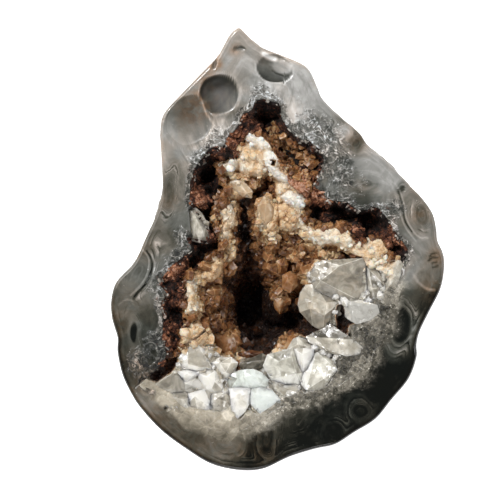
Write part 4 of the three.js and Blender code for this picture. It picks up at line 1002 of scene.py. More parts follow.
def make_polished_agate():
    """Banded chalcedony on the polished cut, breaking into chips at the hollow's edge."""
    material, shader = new_material("polished agate")
    times, more, between, field = shader.times, shader.more, shader.between, shader.field
    place = shader.place()
    warp = shader.centred(shader.noise(place, 1.6, 3.0, 0.3))
    fine_warp = shader.centred(shader.noise(place, 0.45, 3.0))
    line = shader.math("ADD", field("band"), more(times(fine_warp, 0.1), warp, 0.5))
    along = field("along")

    # bands, veils and feathers
    bands = times(shader.centred(shader.noise_along(line, 3.2, 2.0, 0.6)), 1.7)
    bands = more(bands, shader.line(shader.noise_along(line, 1.9, 1.0, 0.5), 0.05), 0.3)
    bands = times(bands, between(shader.noise(place, 1.7, 3.0, 0.8), 0.36, 0.6))
    veils = drawn_out(shader, times(line, 0.8), times(along, 0.3), Detail=6.0, Distortion=0.8)
    feathers = drawn_out(shader, times(line, 0.4), times(along, 1.5), Detail=5.0, Distortion=0.7)
    feathers = times(feathers, field("near"))
    mottle = shader.centred(shader.noise(place, 2.0, 6.0, 0.9, 0.6))
    pale = more(field("pale"), bands, field("lines"))
    pale = more(more(pale, mottle, 0.42), feathers, 0.9)
    pale = more(pale, veils, 0.42)

    # chips and lace at the hollow's edge
    chips = shader.group(GRAIN, Place=place, Size=0.4, Warp=1.6)
    curls = times(shader.line(shader.noise(place, 1.0, 2.0, 1.2, 0.5), 0.06), 0.35)
    curls = more(curls, shader.line(shader.noise(place, 2.0, 2.5, 1.3, 0.55), 0.045), 0.55)
    fray = shader.sway(field("chips"), shader.noise(place, 0.8, 5.0, 0.6), 1.5)
    chipped = between(fray, 0.3, 0.75)
    chip_tone = more(0.04, field("pale"), 0.62)
    chip_tone = more(chip_tone, feathers, 0.6)
    wisps = shader.math("SUBTRACT", shader.noise(place, 1.7, 4.0, 1.2, 0.6), 0.52)
    chip_tone = more(chip_tone, wisps, 1.3)
    chip_tone = shader.math("ADD", shader.sway(chip_tone, chips["Tone"], 0.14), curls)
    speck = between(shader.noise(place, 0.3, 2.0), 0.66, 0.72)
    pale = more(pale, times(speck, between(fray, 0.05, 0.3)), 0.5)
    tone = shader.add("Mix", {0: chipped, 2: pale, 3: chip_tone}, clamp_factor=True).outputs[0]

    # colours
    colour = shader.ramp(
        times(tone, 0.8),
        (0.0, (0.004, 0.0045, 0.0032)),
        (0.12, (0.018, 0.0178, 0.013)),
        (0.28, (0.064, 0.06, 0.046)),
        (0.44, (0.145, 0.133, 0.11)),
        (0.624, (0.3, 0.268, 0.232)),
        (0.8, (0.56, 0.5, 0.445)),
        (1.0, (0.85, 0.82, 0.78)),
    )
    warmth = between(shader.noise(place, 5.5, 4.0, 0.8), 0.62, 0.38)
    cool = shader.math("MAXIMUM", more(warmth, field("brown"), -1.0), 0.0)
    colour = shader.mix(cool, colour, shader.mix(1.0, colour, (0.91, 1.0, 1.08), "MULTIPLY"))
    brown = times(field("brown"), between(shader.noise(place, 0.9, 4.0, 0.8), 0.28, 0.58))
    colour = shader.mix(brown, colour, (0.9, 0.62, 0.42), "MULTIPLY")
    rust = times(chipped, between(shader.noise(place, 0.6, 5.0, 0.5), 0.56, 0.7))
    _, rust_tint = rust_colour(shader, place, 0.35)
    colour = shader.mix(times(rust, field("rusty")), colour, rust_tint)
    grown = shader.sway(field("quartz"), shader.noise(place, 1.8, 4.0, 0.6), 1.1)
    quartz = shader.group(SAWN, Place=place, Milk=field("milk"), Specks=field("specks"))["Color"]
    colour = shader.mix(between(grown, 0.15, 0.85), colour, quartz)

    # polish and relief
    polish = more(more(more(0.16, mottle, 0.1), field("matt"), 0.4), chipped, 0.32)
    relief = times(shader.math("ADD", chips["Height"], curls), chipped)
    normal = shader.bump(shader.noise(place, 0.8, 3.0), 0.012, 1.0, shader.bump(relief, 0.18, 0.8))
    looks = {"Base Color": colour, "Roughness": polish, "Normal": normal, "IOR": QUARTZ_IOR}
    return dress(material, shader, looks)


def make_rind():
    """The nodule's dull outside: pitted, green-grey and brown, with paler grit."""
    material, shader = new_material("nodule rind")
    place = shader.place()
    cloud = shader.noise(place, 6.0, 6.0, 0.6, 0.62)
    grit = shader.noise(place, 0.6, 6.0, 0.2, 0.7)
    colour = shader.ramp(
        shader.more(shader.times(cloud, 0.6), grit, 0.55),
        (0.28, (0.022, 0.016, 0.011)),
        (0.45, (0.075, 0.058, 0.042)),
        (0.6, (0.15, 0.13, 0.1)),
        (0.78, (0.27, 0.25, 0.205)),
    )
    pits = shader.add("TexVoronoi", {"Vector": place, "Scale": 1.1})
    crowd = shader.times(shader.between(shader.noise(place, 2.2, 4.0, 0.8), 0.4, 0.62), 0.2)
    pit = shader.between(shader.math("SUBTRACT", pits.outputs["Distance"], crowd), -0.02, 0.2)
    colour = shader.mix(shader.more(0.6, pit, -0.6), colour, (0.03, 0.02, 0.013))
    iron = shader.between(shader.noise(place, 4.0, 4.0, 1.2), 0.55, 0.7)
    colour = shader.mix(shader.times(iron, 0.6), colour, (0.14, 0.06, 0.028))
    return dress(material, shader, {
        "Base Color": colour,
        "Roughness": shader.more(0.86, grit, -0.25),
        "Normal": shader.bump(grit, 0.22, 0.9, shader.bump(pit, 0.5, 0.7)),
        "Specular IOR Level": 0.35,
    })


def make_rust():
    """Porous iron oxide."""
    material, shader = new_material("iron oxide")
    place = shader.place()
    lumps, colour = rust_colour(shader, place, shader.field("bright"))
    pores = shader.noise(place, 0.22, 4.0, 0.4, 0.7)
    return dress(material, shader, {
        "Base Color": colour,
        "Roughness": shader.more(0.95, pores, -0.3),
        "Normal": shader.bump(pores, 0.12, 0.8, shader.bump(lumps, 0.35, 0.9)),
        "Specular IOR Level": 0.4,
    })


def make_agate_crumb():
    """Frayed agate at the hollow's edge, grey to white, with rust in its chinks."""
    material, shader = new_material("frayed agate")
    place = shader.place()
    cloud = shader.noise(place, 0.6, 5.0, 0.8, 0.65)
    colour = shader.ramp(
        shader.more(shader.times(cloud, 0.9), shader.field("pick"), 0.35),
        (0.2, (0.03, 0.026, 0.02)),
        (0.45, (0.14, 0.125, 0.105)),
        (0.7, (0.36, 0.33, 0.285)),
        (0.95, (0.66, 0.6, 0.53)),
    )
    rust = shader.between(shader.noise(place, 0.9, 4.0, 0.6), 0.52, 0.66)
    colour = shader.mix(shader.times(rust, 0.7), colour, (0.16, 0.06, 0.03))
    return dress(material, shader, {
        "Base Color": colour,
        "Roughness": shader.more(0.45, cloud, 0.3),
        "Normal": shader.bump(cloud, 0.15, 0.8),
    })


def make_crust_stone():
    """The crust's ground: grains of quartz, stained in the hollow and milky where the saw cut it flat."""
    material, shader = new_material("crust ground")
    place, field = shader.place(), shader.field
    grain = shader.group(GRAIN, Place=place, Size=0.85, Warp=0.6)
    fine = shader.group(GRAIN, Place=place, Size=0.3, Warp=0.8)
    iron = shader.more(shader.sway(field("iron"), grain["Tone"], 0.12), grain["Seams"], 0.05)
    stained = shader.group(STAIN, Place=place, Iron=iron, Clouds=0.3)
    quartz = shader.group(SAWN, Place=place, Milk=field("milk"), Specks=field("specks"))
    sawn = field("sawn")
    milky = shader.math("MAXIMUM", sawn, field("milky"))
    colour = shader.mix(milky, stained["Color"], quartz["Color"])
    rough_part = shader.math("SUBTRACT", 1.0, shader.times(sawn, 0.9))
    relief = shader.times(shader.math("ADD", grain["Height"], shader.times(fine["Height"], 0.5)), rough_part)
    return dress(material, shader, {
        "Base Color": colour,
        "Roughness": shader.more(0.22, fine["Tone"], 0.2),
        "Normal": shader.bump(relief, 0.25, 0.8),
        "IOR": QUARTZ_IOR,
        "Subsurface Weight": 0.4,
        "Subsurface Radius": (1.0, 0.85, 0.65),
        "Subsurface Scale": 0.0009,
    })


def make_druse():
    """Small quartz points, each with its own share of iron, darker towards the root."""
    material, shader = new_material("druse crystal")
    place = shader.place()
    iron = shader.sway(shader.field("iron"), shader.field("pick"), 0.08)
    iron = shader.sway(iron, shader.field("facet"), 0.08)
    iron = shader.more(iron, shader.field("tip"), -0.06)
    # Lighter where a face nears its edges: a painted highlight.
    iron = shader.more(iron, shader.between(shader.field("rim"), 0.72, 0.98), -0.09)
    stained = shader.group(STAIN, Place=place, Iron=iron, Clouds=0.3)
    frost = shader.noise(place, 0.3, 4.0)
    inner = shader.group(GRAIN, Place=place, Size=0.5, Warp=0.6)
    return dress(material, shader, {
        "Base Color": stained["Color"],
        "Roughness": shader.more(0.14, frost, 0.4),
        "Normal": shader.bump(inner["Facets"], 0.6),
        "Specular IOR Level": 0.35,
        "IOR": QUARTZ_IOR,
        "Transmission Weight": 0.06,
        "Subsurface Weight": 0.6,
        "Subsurface Radius": (1.0, 0.7, 0.45),
        "Subsurface Scale": 0.0007,
    })


def make_milky_quartz():
    """White quartz, cloudy inside, with a glassy surface."""
    material, shader = new_material("milky quartz")
    place, field = shader.place(), shader.field
    veil = shader.noise(place, 1.5, 6.0, 1.0, 0.58)
    milk = shader.sway(shader.math("ADD", field("tone"), 0.08), veil, 0.75)
    milk = shader.sway(milk, field("facet"), 0.5)
    frost = shader.noise(place, 0.5, 4.0)
    # A painted highlight in patches along the crystals' edges.
    lit_edge = shader.times(field("rim"), shader.between(frost, 0.35, 0.6))
    milk = shader.more(milk, lit_edge, 0.06)
    small = shader.group(GRAIN, Place=place, Size=0.7, Warp=0.6)
    colour = shader.ramp(shader.sway(milk, small["Tone"], 0.08), *MILK_RAMP)
    bluish = shader.between(field("iron"), 0.0, -0.4)
    colour = shader.mix(bluish, colour, (0.86, 0.96, 1.0), "MULTIPLY")
    stained = shader.group(STAIN, Place=place, Iron=field("iron"), Clouds=0.2)
    colour = shader.mix(shader.between(stained["Iron"], 0.1, 0.7), colour, stained["Color"])
    return dress(material, shader, {
        "Base Color": colour,
        "Roughness": shader.more(0.02, frost, 0.3),
        "Normal": shader.bump(small["Facets"], 0.4),
        "IOR": QUARTZ_IOR,
        "Transmission Weight": 0.05,
        "Subsurface Weight": 1.0,
        "Subsurface Radius": (1.0, 1.0, 0.95),
        "Subsurface Scale": 0.0016,
    })


def make_clear_quartz():
    """See-through quartz, faintly grey, with veils in it."""
    material, shader = new_material("clear quartz")
    place = shader.place()
    veil = shader.between(shader.noise(place, 1.1, 5.0, 1.0), 0.42, 0.7)
    colour = shader.mix(veil, (0.97, 0.94, 0.86), (0.82, 0.79, 0.71))
    large = shader.group(GRAIN, Place=place, Size=1.4, Warp=0.5)
    small = shader.group(GRAIN, Place=place, Size=0.6, Warp=0.6)
    absorption = shader.add("VolumeAbsorption", {"Color": (0.8, 0.78, 0.72), "Density": 70.0})
    shader.put(shader.tree.nodes["Material Output"].inputs["Volume"], absorption.outputs[0])
    return dress(material, shader, {
        "Base Color": colour,
        "Roughness": shader.more(0.03, veil, 0.25),
        "Normal": shader.bump(small["Facets"], 0.2, 1.0, shader.bump(large["Facets"], 0.35)),
        "IOR": QUARTZ_IOR,
        "Transmission Weight": 0.55,
    })


# The agate


def agate_fields(xy, outline_distance, edge_distance):
    """How pale, lined, brown and chipped the polished agate is at each place."""
    spots = np.array([spot for group in AGATE_PALENESS.values() for spot in group])
    pale = through(spots[:, :2], spots[:, 2:], xy, 1.5, 1.6)[:, 0]
    shift = wobble(xy, 2.2, 3)
    band = outline_distance + 0.8
    border = (1 - between(outline_distance, 0.3, 1.6)) * between(noise(xy, 5.0, 8), -0.3, 0.5)
    lines = 0.05 + 0.1 * between(-xy[:, 1], 14, 20) + 0.4 * border
    lines = lines + 0.35 * between(-xy[:, 1], 20.0, 23.0) * between(noise(xy, 3.0, 9), -0.4, 0.2)
    for middle, half_sizes, turn, core, ring_tone, strength, side in AGATE_EYES.values():
        _, _, reach = in_half_sizes(xy + 0.35 * shift, middle, half_sizes, turn)
        pale = toward(pale, ring_tone, 1 - between(reach, 1.15, 2.1))
        pale = toward(pale, core, 1 - between(reach, 0.62, 0.92))
        from_eye = reach * min(half_sizes) * 1.15
        soft = np.clip(0.5 + (band - from_eye), 0, 1)
        band = toward(band, from_eye, soft) - 0.5 * soft * (1 - soft)
        lined = strength * (1 - between(reach, 1.15, 1.8)) * (0.25 + 0.75 * between(reach, 0.6, 1.0))
        if side is not None:
            away = xy - np.array(middle)
            facing = np.cos(np.arctan2(away[:, 1], away[:, 0]) - math.radians(side))
            lined = lined * (0.2 + 0.8 * between(facing, -0.4, 0.5))
        lines = np.maximum(lines, lined)
    for middle, half_sizes, deepest, turn, _, steep_tone, far_tone in BUBBLES:
        # Inside each bubble the paleness runs from one wall's tone to the other's: painted shade and light.
        _, y, reach = in_half_sizes(uneven(xy), middle, half_sizes, turn)
        within = 1 - between(reach, 0.93, 1.0)
        pale = toward(pale, toward(far_tone, steep_tone, between(y, -0.95, 0.35)), within)
        lines = lines * (1 - 0.9 * within)
        # A painted highlight: a thin pale ring just outside each bubble, stronger for deeper ones.
        pale = pale + 0.1 * deepest * np.exp(-(((reach - 1.03) / 0.05) ** 2)) * (reach > 1)
    middle, half_sizes, _, turn = DOME
    x, _, reach = in_half_sizes(xy, middle, half_sizes, turn)
    # Painted light and shade: the bead grows paler towards one end.
    pale = toward(pale, 0.8 + 0.2 * np.clip(x, -1, 1), 1 - between(reach, 0.7, 1.05))
    for width, line_tone, course in THIN_LINES:
        from_line = distance_to(smooth_curve(from_photo(course), False, 6), xy + 0.06 * shift)
        pale = toward(pale, line_tone, 0.8 * (1 - between(from_line, 0.2 * width, 1.8 * width)))
    rim = 1 - between(outline_distance, 0.1, 0.7)
    dark_side = between(-xy[:, 1], 2, 14)
    brown = sum(strength * glow(xy, middle, reach) for middle, reach, strength in BROWN_STAINS)
    patches = sum(glow(xy, middle, reach) for middle, reach in LACY_PATCHES)
    chips = 1 - between(edge_distance, 0.1, 0.95 + 1.5 * patches + 0.5 * rough(xy, 2.5, 21, 3))
    chips = np.clip(np.maximum(chips, 0.9 * patches * (1 - between(edge_distance, 2.5, 5.5))), 0, 1)
    degrees = np.degrees(np.arctan2(xy[:, 1] - HUB[1], xy[:, 0] - HUB[0]))
    rusty = np.mod(degrees - RUST_START, 360) < RUST_END - RUST_START
    from_fused = np.abs(np.mod(degrees - RUST_FREE_MIDDLE + 180, 360) - 180)
    filled = between(from_fused, RUST_FREE_HALF + 4, RUST_FREE_HALF - 6)
    quartz = filled * (1 - 0.6 * between(edge_distance, 0.0, 1.6) - 0.4 * between(edge_distance, 0.8, 3.0))
    return {
        "pale": pale * (1 - 0.75 * rim * dark_side),
        "band": band,
        "lines": lines * (1 - 0.7 * filled * (1 - between(edge_distance, 1.5, 4.0))),
        "brown": np.clip(brown + rim * (0.3 + 0.6 * dark_side), -1, 1),
        "chips": chips * (1 - 0.8 * filled),
        "rusty": rusty * (1 - between(edge_distance, 0.2, 1.6)),
        "quartz": quartz,
        "milk": milkiness(xy),
        "specks": speckled(xy),
        "along": np.abs(np.radians(degrees)) * 16,
        "near": between(edge_distance, 4.5, 0.5) * between(xy[:, 1], 5.0, 12.0),
        "matt": between(bubble_depth(xy), 0.02, 0.12),
    }


def uneven(xy):
    """Places shifted a little, so that round outlines waver."""
    return xy + 0.16 * wobble(xy, 1.7, 5)


def bubble_depth(xy):
    """How deep the bubbles are under the face, less the bead in one of them."""
    depth = np.zeros(len(xy))
    for middle, half_sizes, deepest, turn, lean, _, _ in BUBBLES:
        x, y, _ = in_half_sizes(uneven(xy), middle, half_sizes, turn)
        bowl = np.clip(1 - (x**2 + y**2), 0, 1) ** (0.65 if deepest > 0.5 else 1.2)
        depth = np.maximum(depth, deepest * bowl * (1 + lean * y))
    middle, half_sizes, height, turn = DOME
    x, y, _ = in_half_sizes(xy, middle, half_sizes, turn)
    return np.maximum(depth - height * np.sqrt(np.clip(1 - x**2 - y**2, 0, 1)), 0)


def lumps(angle, depth):
    """Rounded lumps of the rind, from -1 to 1."""
    return (
        0.36 * np.sin(3 * angle + 5.2 * depth + 0.7)
        + 0.34 * np.sin(8 * angle - 7.1 * depth + 2.1)
        + 0.3 * np.sin(13 * angle + 15.3 * depth + 4.4)
    )


def back_rings(angles):
    """The rounded, pitted back from the worn resting patch up to the face."""
    outline, worn = radius_at(OUTLINE_RADII, angles), radius_at(WORN_RADII, angles)
    rings = []
    for degrees in np.linspace(88, 4, 38):
        turn = math.radians(degrees)
        depth = min(1, 1.045 * math.sin(turn))
        reach = toward(outline, worn, depth) * math.cos(turn) ** 0.72
        reach = reach + math.sin(2 * turn) * lumps(angles, depth)
        rings.append(ring(reach, angles, FACE * (1 - depth), toward(HUB, REST_MIDDLE, depth)))
    rings = np.array(rings)
    grit = 0.16 * rough(rings, 2.6, 31) + 0.09 * rough(rings, 0.9, 32, 3)
    pits = 0.35 * between(noise(rings, 1.7, 33), 0.45, 0.85)
    inward = np.array([*REST_MIDDLE, FACE]) - rings
    inward /= np.linalg.norm(inward, axis=2, keepdims=True)
    free = between(rings[:, :, 2], 0.0, 1.2)
    rings += inward * ((pits - grit) * free)[:, :, None]
    rings[:, :, 2] = np.maximum(rings[:, :, 2], 0.02 * free)
    return rings


def face_rings(angles):
    """The polished face from its softened rim in to the hollow's ragged edge."""
    shares = np.concatenate([[0, 0.006, 0.014, 0.026, 0.042], np.linspace(0.06, 0.995, 58), [1]])
    reach = toward(radius_at(OUTLINE_RADII, angles), radius_at(RAGGED_RADII, angles), shares[:, None])
    xy = spread_out(reach, angles)
    outline_distance = distance_to(smooth_curve(OUTLINE, True, 6), xy)
    edge_distance = distance_to(smooth_curve(AGATE_EDGE, True, 6), xy)
    bevel = 0.35 * np.clip(1 - outline_distance / 0.4, 0, 1) ** 2
    fields = agate_fields(xy, outline_distance, edge_distance)
    crumble = np.clip(rough(xy, 0.7, 41, 3) + 0.25, 0, 1) * (1 - between(edge_distance, 0.0, 0.9))
    notch = 1.2 * between(inside_distance(from_photo(GLASSY), xy), -0.15, 0.1)
    height = FACE - bevel - bubble_depth(xy) - 0.5 * crumble * fields["rusty"] - notch
    return np.column_stack([xy, height]).reshape(*reach.shape, 3), fields


def wall_rings(angles):
    """The hollow's wall in the agate, behind the lining and the crust."""
    edge = radius_at(RAGGED_RADII, angles)
    shares = (0.99, 0.975, 0.95, 0.92, 0.88, 0.83, 0.77, 0.7, 0.6, 0.45, 0.25, 0.1)
    return np.array([ring(share * edge, angles, FACE - hollow_depth(share)) for share in shares])


def make_agate():
    angles = spokes(SPOKES)
    back, wall = back_rings(angles), wall_rings(angles)
    face, face_fields = face_rings(angles)
    rings = np.vstack([back, face, wall])
    points, faces = skin(rings, [*REST_MIDDLE, 0.0], [*HUB, FACE - hollow_depth(0.0)])
    hidden = 1 + len(back) * SPOKES, 1 + len(wall) * SPOKES
    fields = {name: np.pad(values, hidden) for name, values in face_fields.items()}
    agate = new_object("agate_nodule", points, faces, fields)
    for material in (make_rind(), make_polished_agate(), IRON_OXIDE):
        agate.data.materials.append(material)
    finish = np.repeat([0, 1, 2], np.array([len(back) + 1, len(face), len(wall)]) * SPOKES)
    agate.data.polygons.foreach_set("material_index", finish.astype(np.int32))
    join_as_part(agate, "agate_shell")


# The rusty lining

# Brown quartz on the channel's floor, in photograph pixels.
FLOOR_DRUSE = [
    (268, 128), (276, 122), (284, 132), (296, 140), (308, 148), (318, 160), (318, 176), (310, 186),
    (296, 182), (288, 172), (282, 158), (274, 146),
]
RUST_SPOTS = np.array([spot for _, spots in RUST_LANDFORMS.values() for spot in spots])
RUST_BRIGHT = np.array([bright for bright, spots in RUST_LANDFORMS.values() for _ in spots])


def make_lining():
    angles = np.radians(np.linspace(RUST_START, RUST_END, 620))
    edge, crust = radius_at(RAGGED_RADII, angles), radius_at(CRUST_RADII, angles)
    inner = np.minimum(crust - 0.8, 0.93 * edge)
    reach = toward(0.995 * edge, inner, np.linspace(0, 1, 52)[:, None])
    xy = spread_out(reach, angles)
    bed = FACE - hollow_depth((reach / edge).ravel())
    depth, bright = through(RUST_SPOTS[:, :2], np.stack([RUST_SPOTS[:, 2], RUST_BRIGHT], 1), xy).T
    plumes = rough(xy, 1.5, 51, 4)
    ragged = 1.1 * plumes + 0.6 * np.abs(rough(xy, 0.6, 52, 3))
    from_rim = (edge - reach).ravel() + 0.5 * rough(xy, 1.1, 56, 3)
    top = FACE - 0.35 + (0.35 - depth) * between(from_rim, 0.0, 1.3) + ragged
    coat = bed + 0.35 + 0.25 * rough(xy, 0.8, 53, 3)
    top = np.minimum(np.maximum(top, coat), FACE - 0.25)
    low = np.minimum(bed + 0.05, top - 0.1)
    in_view = (reach >= crust - 0.1).ravel()

    def on_top(values):
        return np.pad(values, (0, len(xy)))

    fields = {
        # bright: lighter in shallow places and on the plumes' high points, darker deep down and in the dips,
        # as painted light and shade over the rust's own brightness.
        "bright": np.tile(bright + 0.4 * between(depth, 3.2, 1.0) - 0.25 + 0.5 * plumes, 2),
        "grow": on_top(in_view * (0.55 + 0.45 * between(depth, 4.0, 2.0))),
        "size": np.ones(2 * len(xy)),
        "iron": np.full(2 * len(xy), 0.66),
        "druse": on_top(between(inside_distance(from_photo(FLOOR_DRUSE), xy), -0.3, 0.3)),
        "frayed": on_top((1 - between(from_rim, 0.1, 0.55)) * in_view),
    }
    points = np.column_stack([np.tile(xy, (2, 1)), np.concatenate([top, low])])
    lining = new_object("rust_plumes", points, sheet_faces(*reach.shape), fields)
    face_out(lining.data)
    lining.data.materials.append(IRON_OXIDE)
    join_as_part(lining, "rust_lining")
    return lining


# The crystal crust

CRUST_SPOTS = np.array([spot for _, _, spots in CRUST_LANDFORMS.values() for spot in spots])
CRUST_LOOKS = np.array([(iron, size) for iron, size, spots in CRUST_LANDFORMS.values() for _ in spots])
MILK_PLACES = from_photo([spot[:2] for spot in MILK_SPOTS])
MILK = np.array([spot[2:] for spot in MILK_SPOTS])
SAWN_DEPTH = 0.035  # of the flat quartz below the polished agate


def crust_surface(xy):
    """The crust's depth below the face, iron, crystal size, and how flat, bare and milky it is."""
    depth, iron, size = through(CRUST_SPOTS[:, :2], np.column_stack([CRUST_SPOTS[:, 2], CRUST_LOOKS]), xy).T
    ragged = 0.22 * rough(xy, 0.9, 55, 3)
    standing = inside_distance(from_photo(STANDING), xy) + 0.8 * ragged
    low_side = between(size, 1.1, 1.25)
    depth = depth + 0.6 * (1 - low_side)
    # Stained more away from the coarse quartz, which also darkens the gaps between the masses as painted
    # shade.
    iron = np.minimum(iron + 0.12 * (1 - low_side), 1)
    depth = np.maximum(depth, np.clip(0.3 + standing, 0, 1.2) * low_side)
    sawn = 1 - between(standing, -0.25, 0.2)
    bare = np.zeros(len(xy))
    for top, mound_iron, mound_size, outline in MOUNDS:
        outline = from_photo(outline)
        low, high = outline.min(0) - 1.5, outline.max(0) + 1.5
        near = np.flatnonzero(((xy > low) & (xy < high)).all(1))
        inside = inside_distance(outline, xy[near]) + ragged[near]
        rounded = 0.75 * (1 - np.clip(inside / 0.9, 0, 1)) ** 2
        height = np.where(inside > 0, top + rounded, top + 0.75 - 3.2 * inside)
        wins = height < depth[near]
        depth[near] = np.where(wins, height, depth[near])
        share = between(inside, -0.45, 0.25) * wins
        iron[near] = toward(iron[near], mound_iron, share)
        size[near] = toward(size[near], mound_size, share)
        bare[near] = np.maximum(bare[near], 0.7 * share * (mound_iron < 0.45))
    for bottom, hole_iron, outline in HOLES:
        inside = inside_distance(from_photo(outline), xy) + 0.6 * ragged
        sunk = np.clip(0.4 + 6 * inside, 0, bottom)
        depth = np.maximum(depth, np.where(inside > 0, sunk, 0))
        # The holes' near-black iron is partly painted shade.
        iron = toward(iron, hole_iron, between(inside, -0.1, 0.12))
    for _, top, height, _, _, outline, _ in TRACED_CRYSTALS:
        inside = inside_distance(from_photo(outline), xy)
        depth = np.maximum(depth, np.where(inside > 0.1, top + 0.7 * height * between(inside, 0.1, 0.5), 0))
        bare = np.maximum(bare, between(inside, 0.0, 0.1))
    return depth, iron, size, sawn, bare, low_side


def milkiness(xy):
    return through(MILK_PLACES, MILK, xy, 0.5, 1.8)[:, 0]


def speckled(xy):
    """How speckled the sawn quartz is: creamy at the lower left, full of clear grains at the right."""
    return between(xy[:, 0], -6.5, 0.5)


def make_ground():
    angles = spokes(SPOKES)
    edge, crust = radius_at(AGATE_RADII, angles), radius_at(CRUST_RADII, angles)
    fused = crust > edge - 0.9
    rim = np.where(fused, edge + 0.5, crust - 0.35 + 1.2 * radius_at(RAGGED_EDGE, angles + 1))
    reach = rim * np.linspace(1, 0.012, 112)[:, None]
    xy = spread_out(reach, angles)
    depth, iron, size, sawn, bare, milky = crust_surface(xy)
    from_edge = distance_to(smooth_curve(AGATE_EDGE, True, 6), xy)
    cut_rim = np.tile(fused, len(reach)) * (1 - between(from_edge, 0.6, 1.4)) * (1 - between(iron, 0.8, 0.9))
    sawn = np.maximum(sawn, cut_rim)
    large, large_pick = facets(xy, 1.15, 61)
    small, _ = facets(xy, 0.5, 71)
    relief = (0.6 * large * size + 0.25 * small - 0.25) * (1 - sawn)
    depth = np.maximum(depth * (1 - sawn) + SAWN_DEPTH * sawn - relief, SAWN_DEPTH)
    bed = hollow_depth(np.clip((reach / edge).ravel(), 0, 1))
    depth = np.where((reach < 0.9 * edge).ravel(), np.minimum(depth, bed - 0.9), depth)
    top = np.column_stack([xy, FACE - depth]).reshape(*reach.shape, 3)

    under = []
    for share in (0.1, 0.3, 0.5, 0.7, 0.85):
        flat = share * rim
        under.append(ring(flat, angles, FACE - hollow_depth(flat / edge) + 0.5))
    wall = []
    for down, flare in ((9.0, 0.35), (6.0, 0.35), (4.0, 0.3), (2.6, 0.22), (1.5, 0.12), (0.7, 0.04)):
        flared = rim + flare * (edge - crust)
        deepest = hollow_depth(np.clip(flared / edge, 0, 1)) - 0.4
        height = FACE - np.minimum(max(down, 0.8), np.maximum(deepest, 0.5))
        bumpy = flared + 0.25 * rough(ring(10, angles, down, (0, 0)), 1.2, 81)
        wall.append(ring(np.where(fused, edge + 0.5 - 0.08 * down, bumpy), angles, height))
    points, faces = skin(np.vstack([under, wall, top]), [*HUB, FACE - 16.7], [*HUB, top[-1, :, 2].mean()])
    hidden = 1 + (len(under) + len(wall)) * SPOKES

    def on_top(values, elsewhere=0.0):
        return np.concatenate([np.full(hidden, elsewhere), values, values[-1:]])

    free = between(depth, 0.3, 0.7) * (1 - sawn)
    in_pit = np.exp(-((xy - np.array([-2.0, -8.6])) ** 2 / np.array([2.6, 3.0]) ** 2).sum(1) * 1.2)
    grow = free * (1 - between(in_pit, 0.35, 0.6)) * (1 - 0.8 * between(iron, 0.84, 0.96))
    coarse = between(size, 1.1, 1.2)
    grow_large = (sawn < 0.01) * free * (1 - bare) * coarse * (1 - between(iron, 0.3, 0.4))
    fields = {
        # The hidden rows are stained dark, 0.85: painted shade.
        "iron": on_top(iron + 0.06 * (large_pick - 0.5), 0.85),
        "sawn": on_top(sawn),
        "milk": on_top(milkiness(xy), 0.5),
        "specks": on_top(speckled(xy), 1.0),
        "milky": on_top(milky * (1 - between(iron, 0.3, 0.5))),
        "grow": on_top(grow * (1 - bare) * (1 - coarse)),
        "grow_large": on_top(grow_large),
        "size": on_top(size, 0.8),
        # tone: darker where the ground lies deep, as painted shade on the quartz points grown there.
        "tone": on_top(0.82 + 0.12 * (large_pick - 0.5) - 0.5 * between(depth, 2.0, 5.0), 0.5),
    }
    wall_rows = slice(1 + (len(under) + 2) * SPOKES, hidden)
    fields["grow"][wall_rows] = np.tile(np.where(fused, 0.0, 0.8), len(wall) - 2)
    # The crust's outer wall and the crystals grown on it are stained darker: painted shade.
    fields["iron"][wall_rows] = 0.74
    ground = new_object("crystal_ground", points, faces, fields, smooth=False)
    ground.data.materials.append(CRUST_STONE)
    join_as_part(ground, "crystal_crust")
    return ground


# Small crystals and crumbs


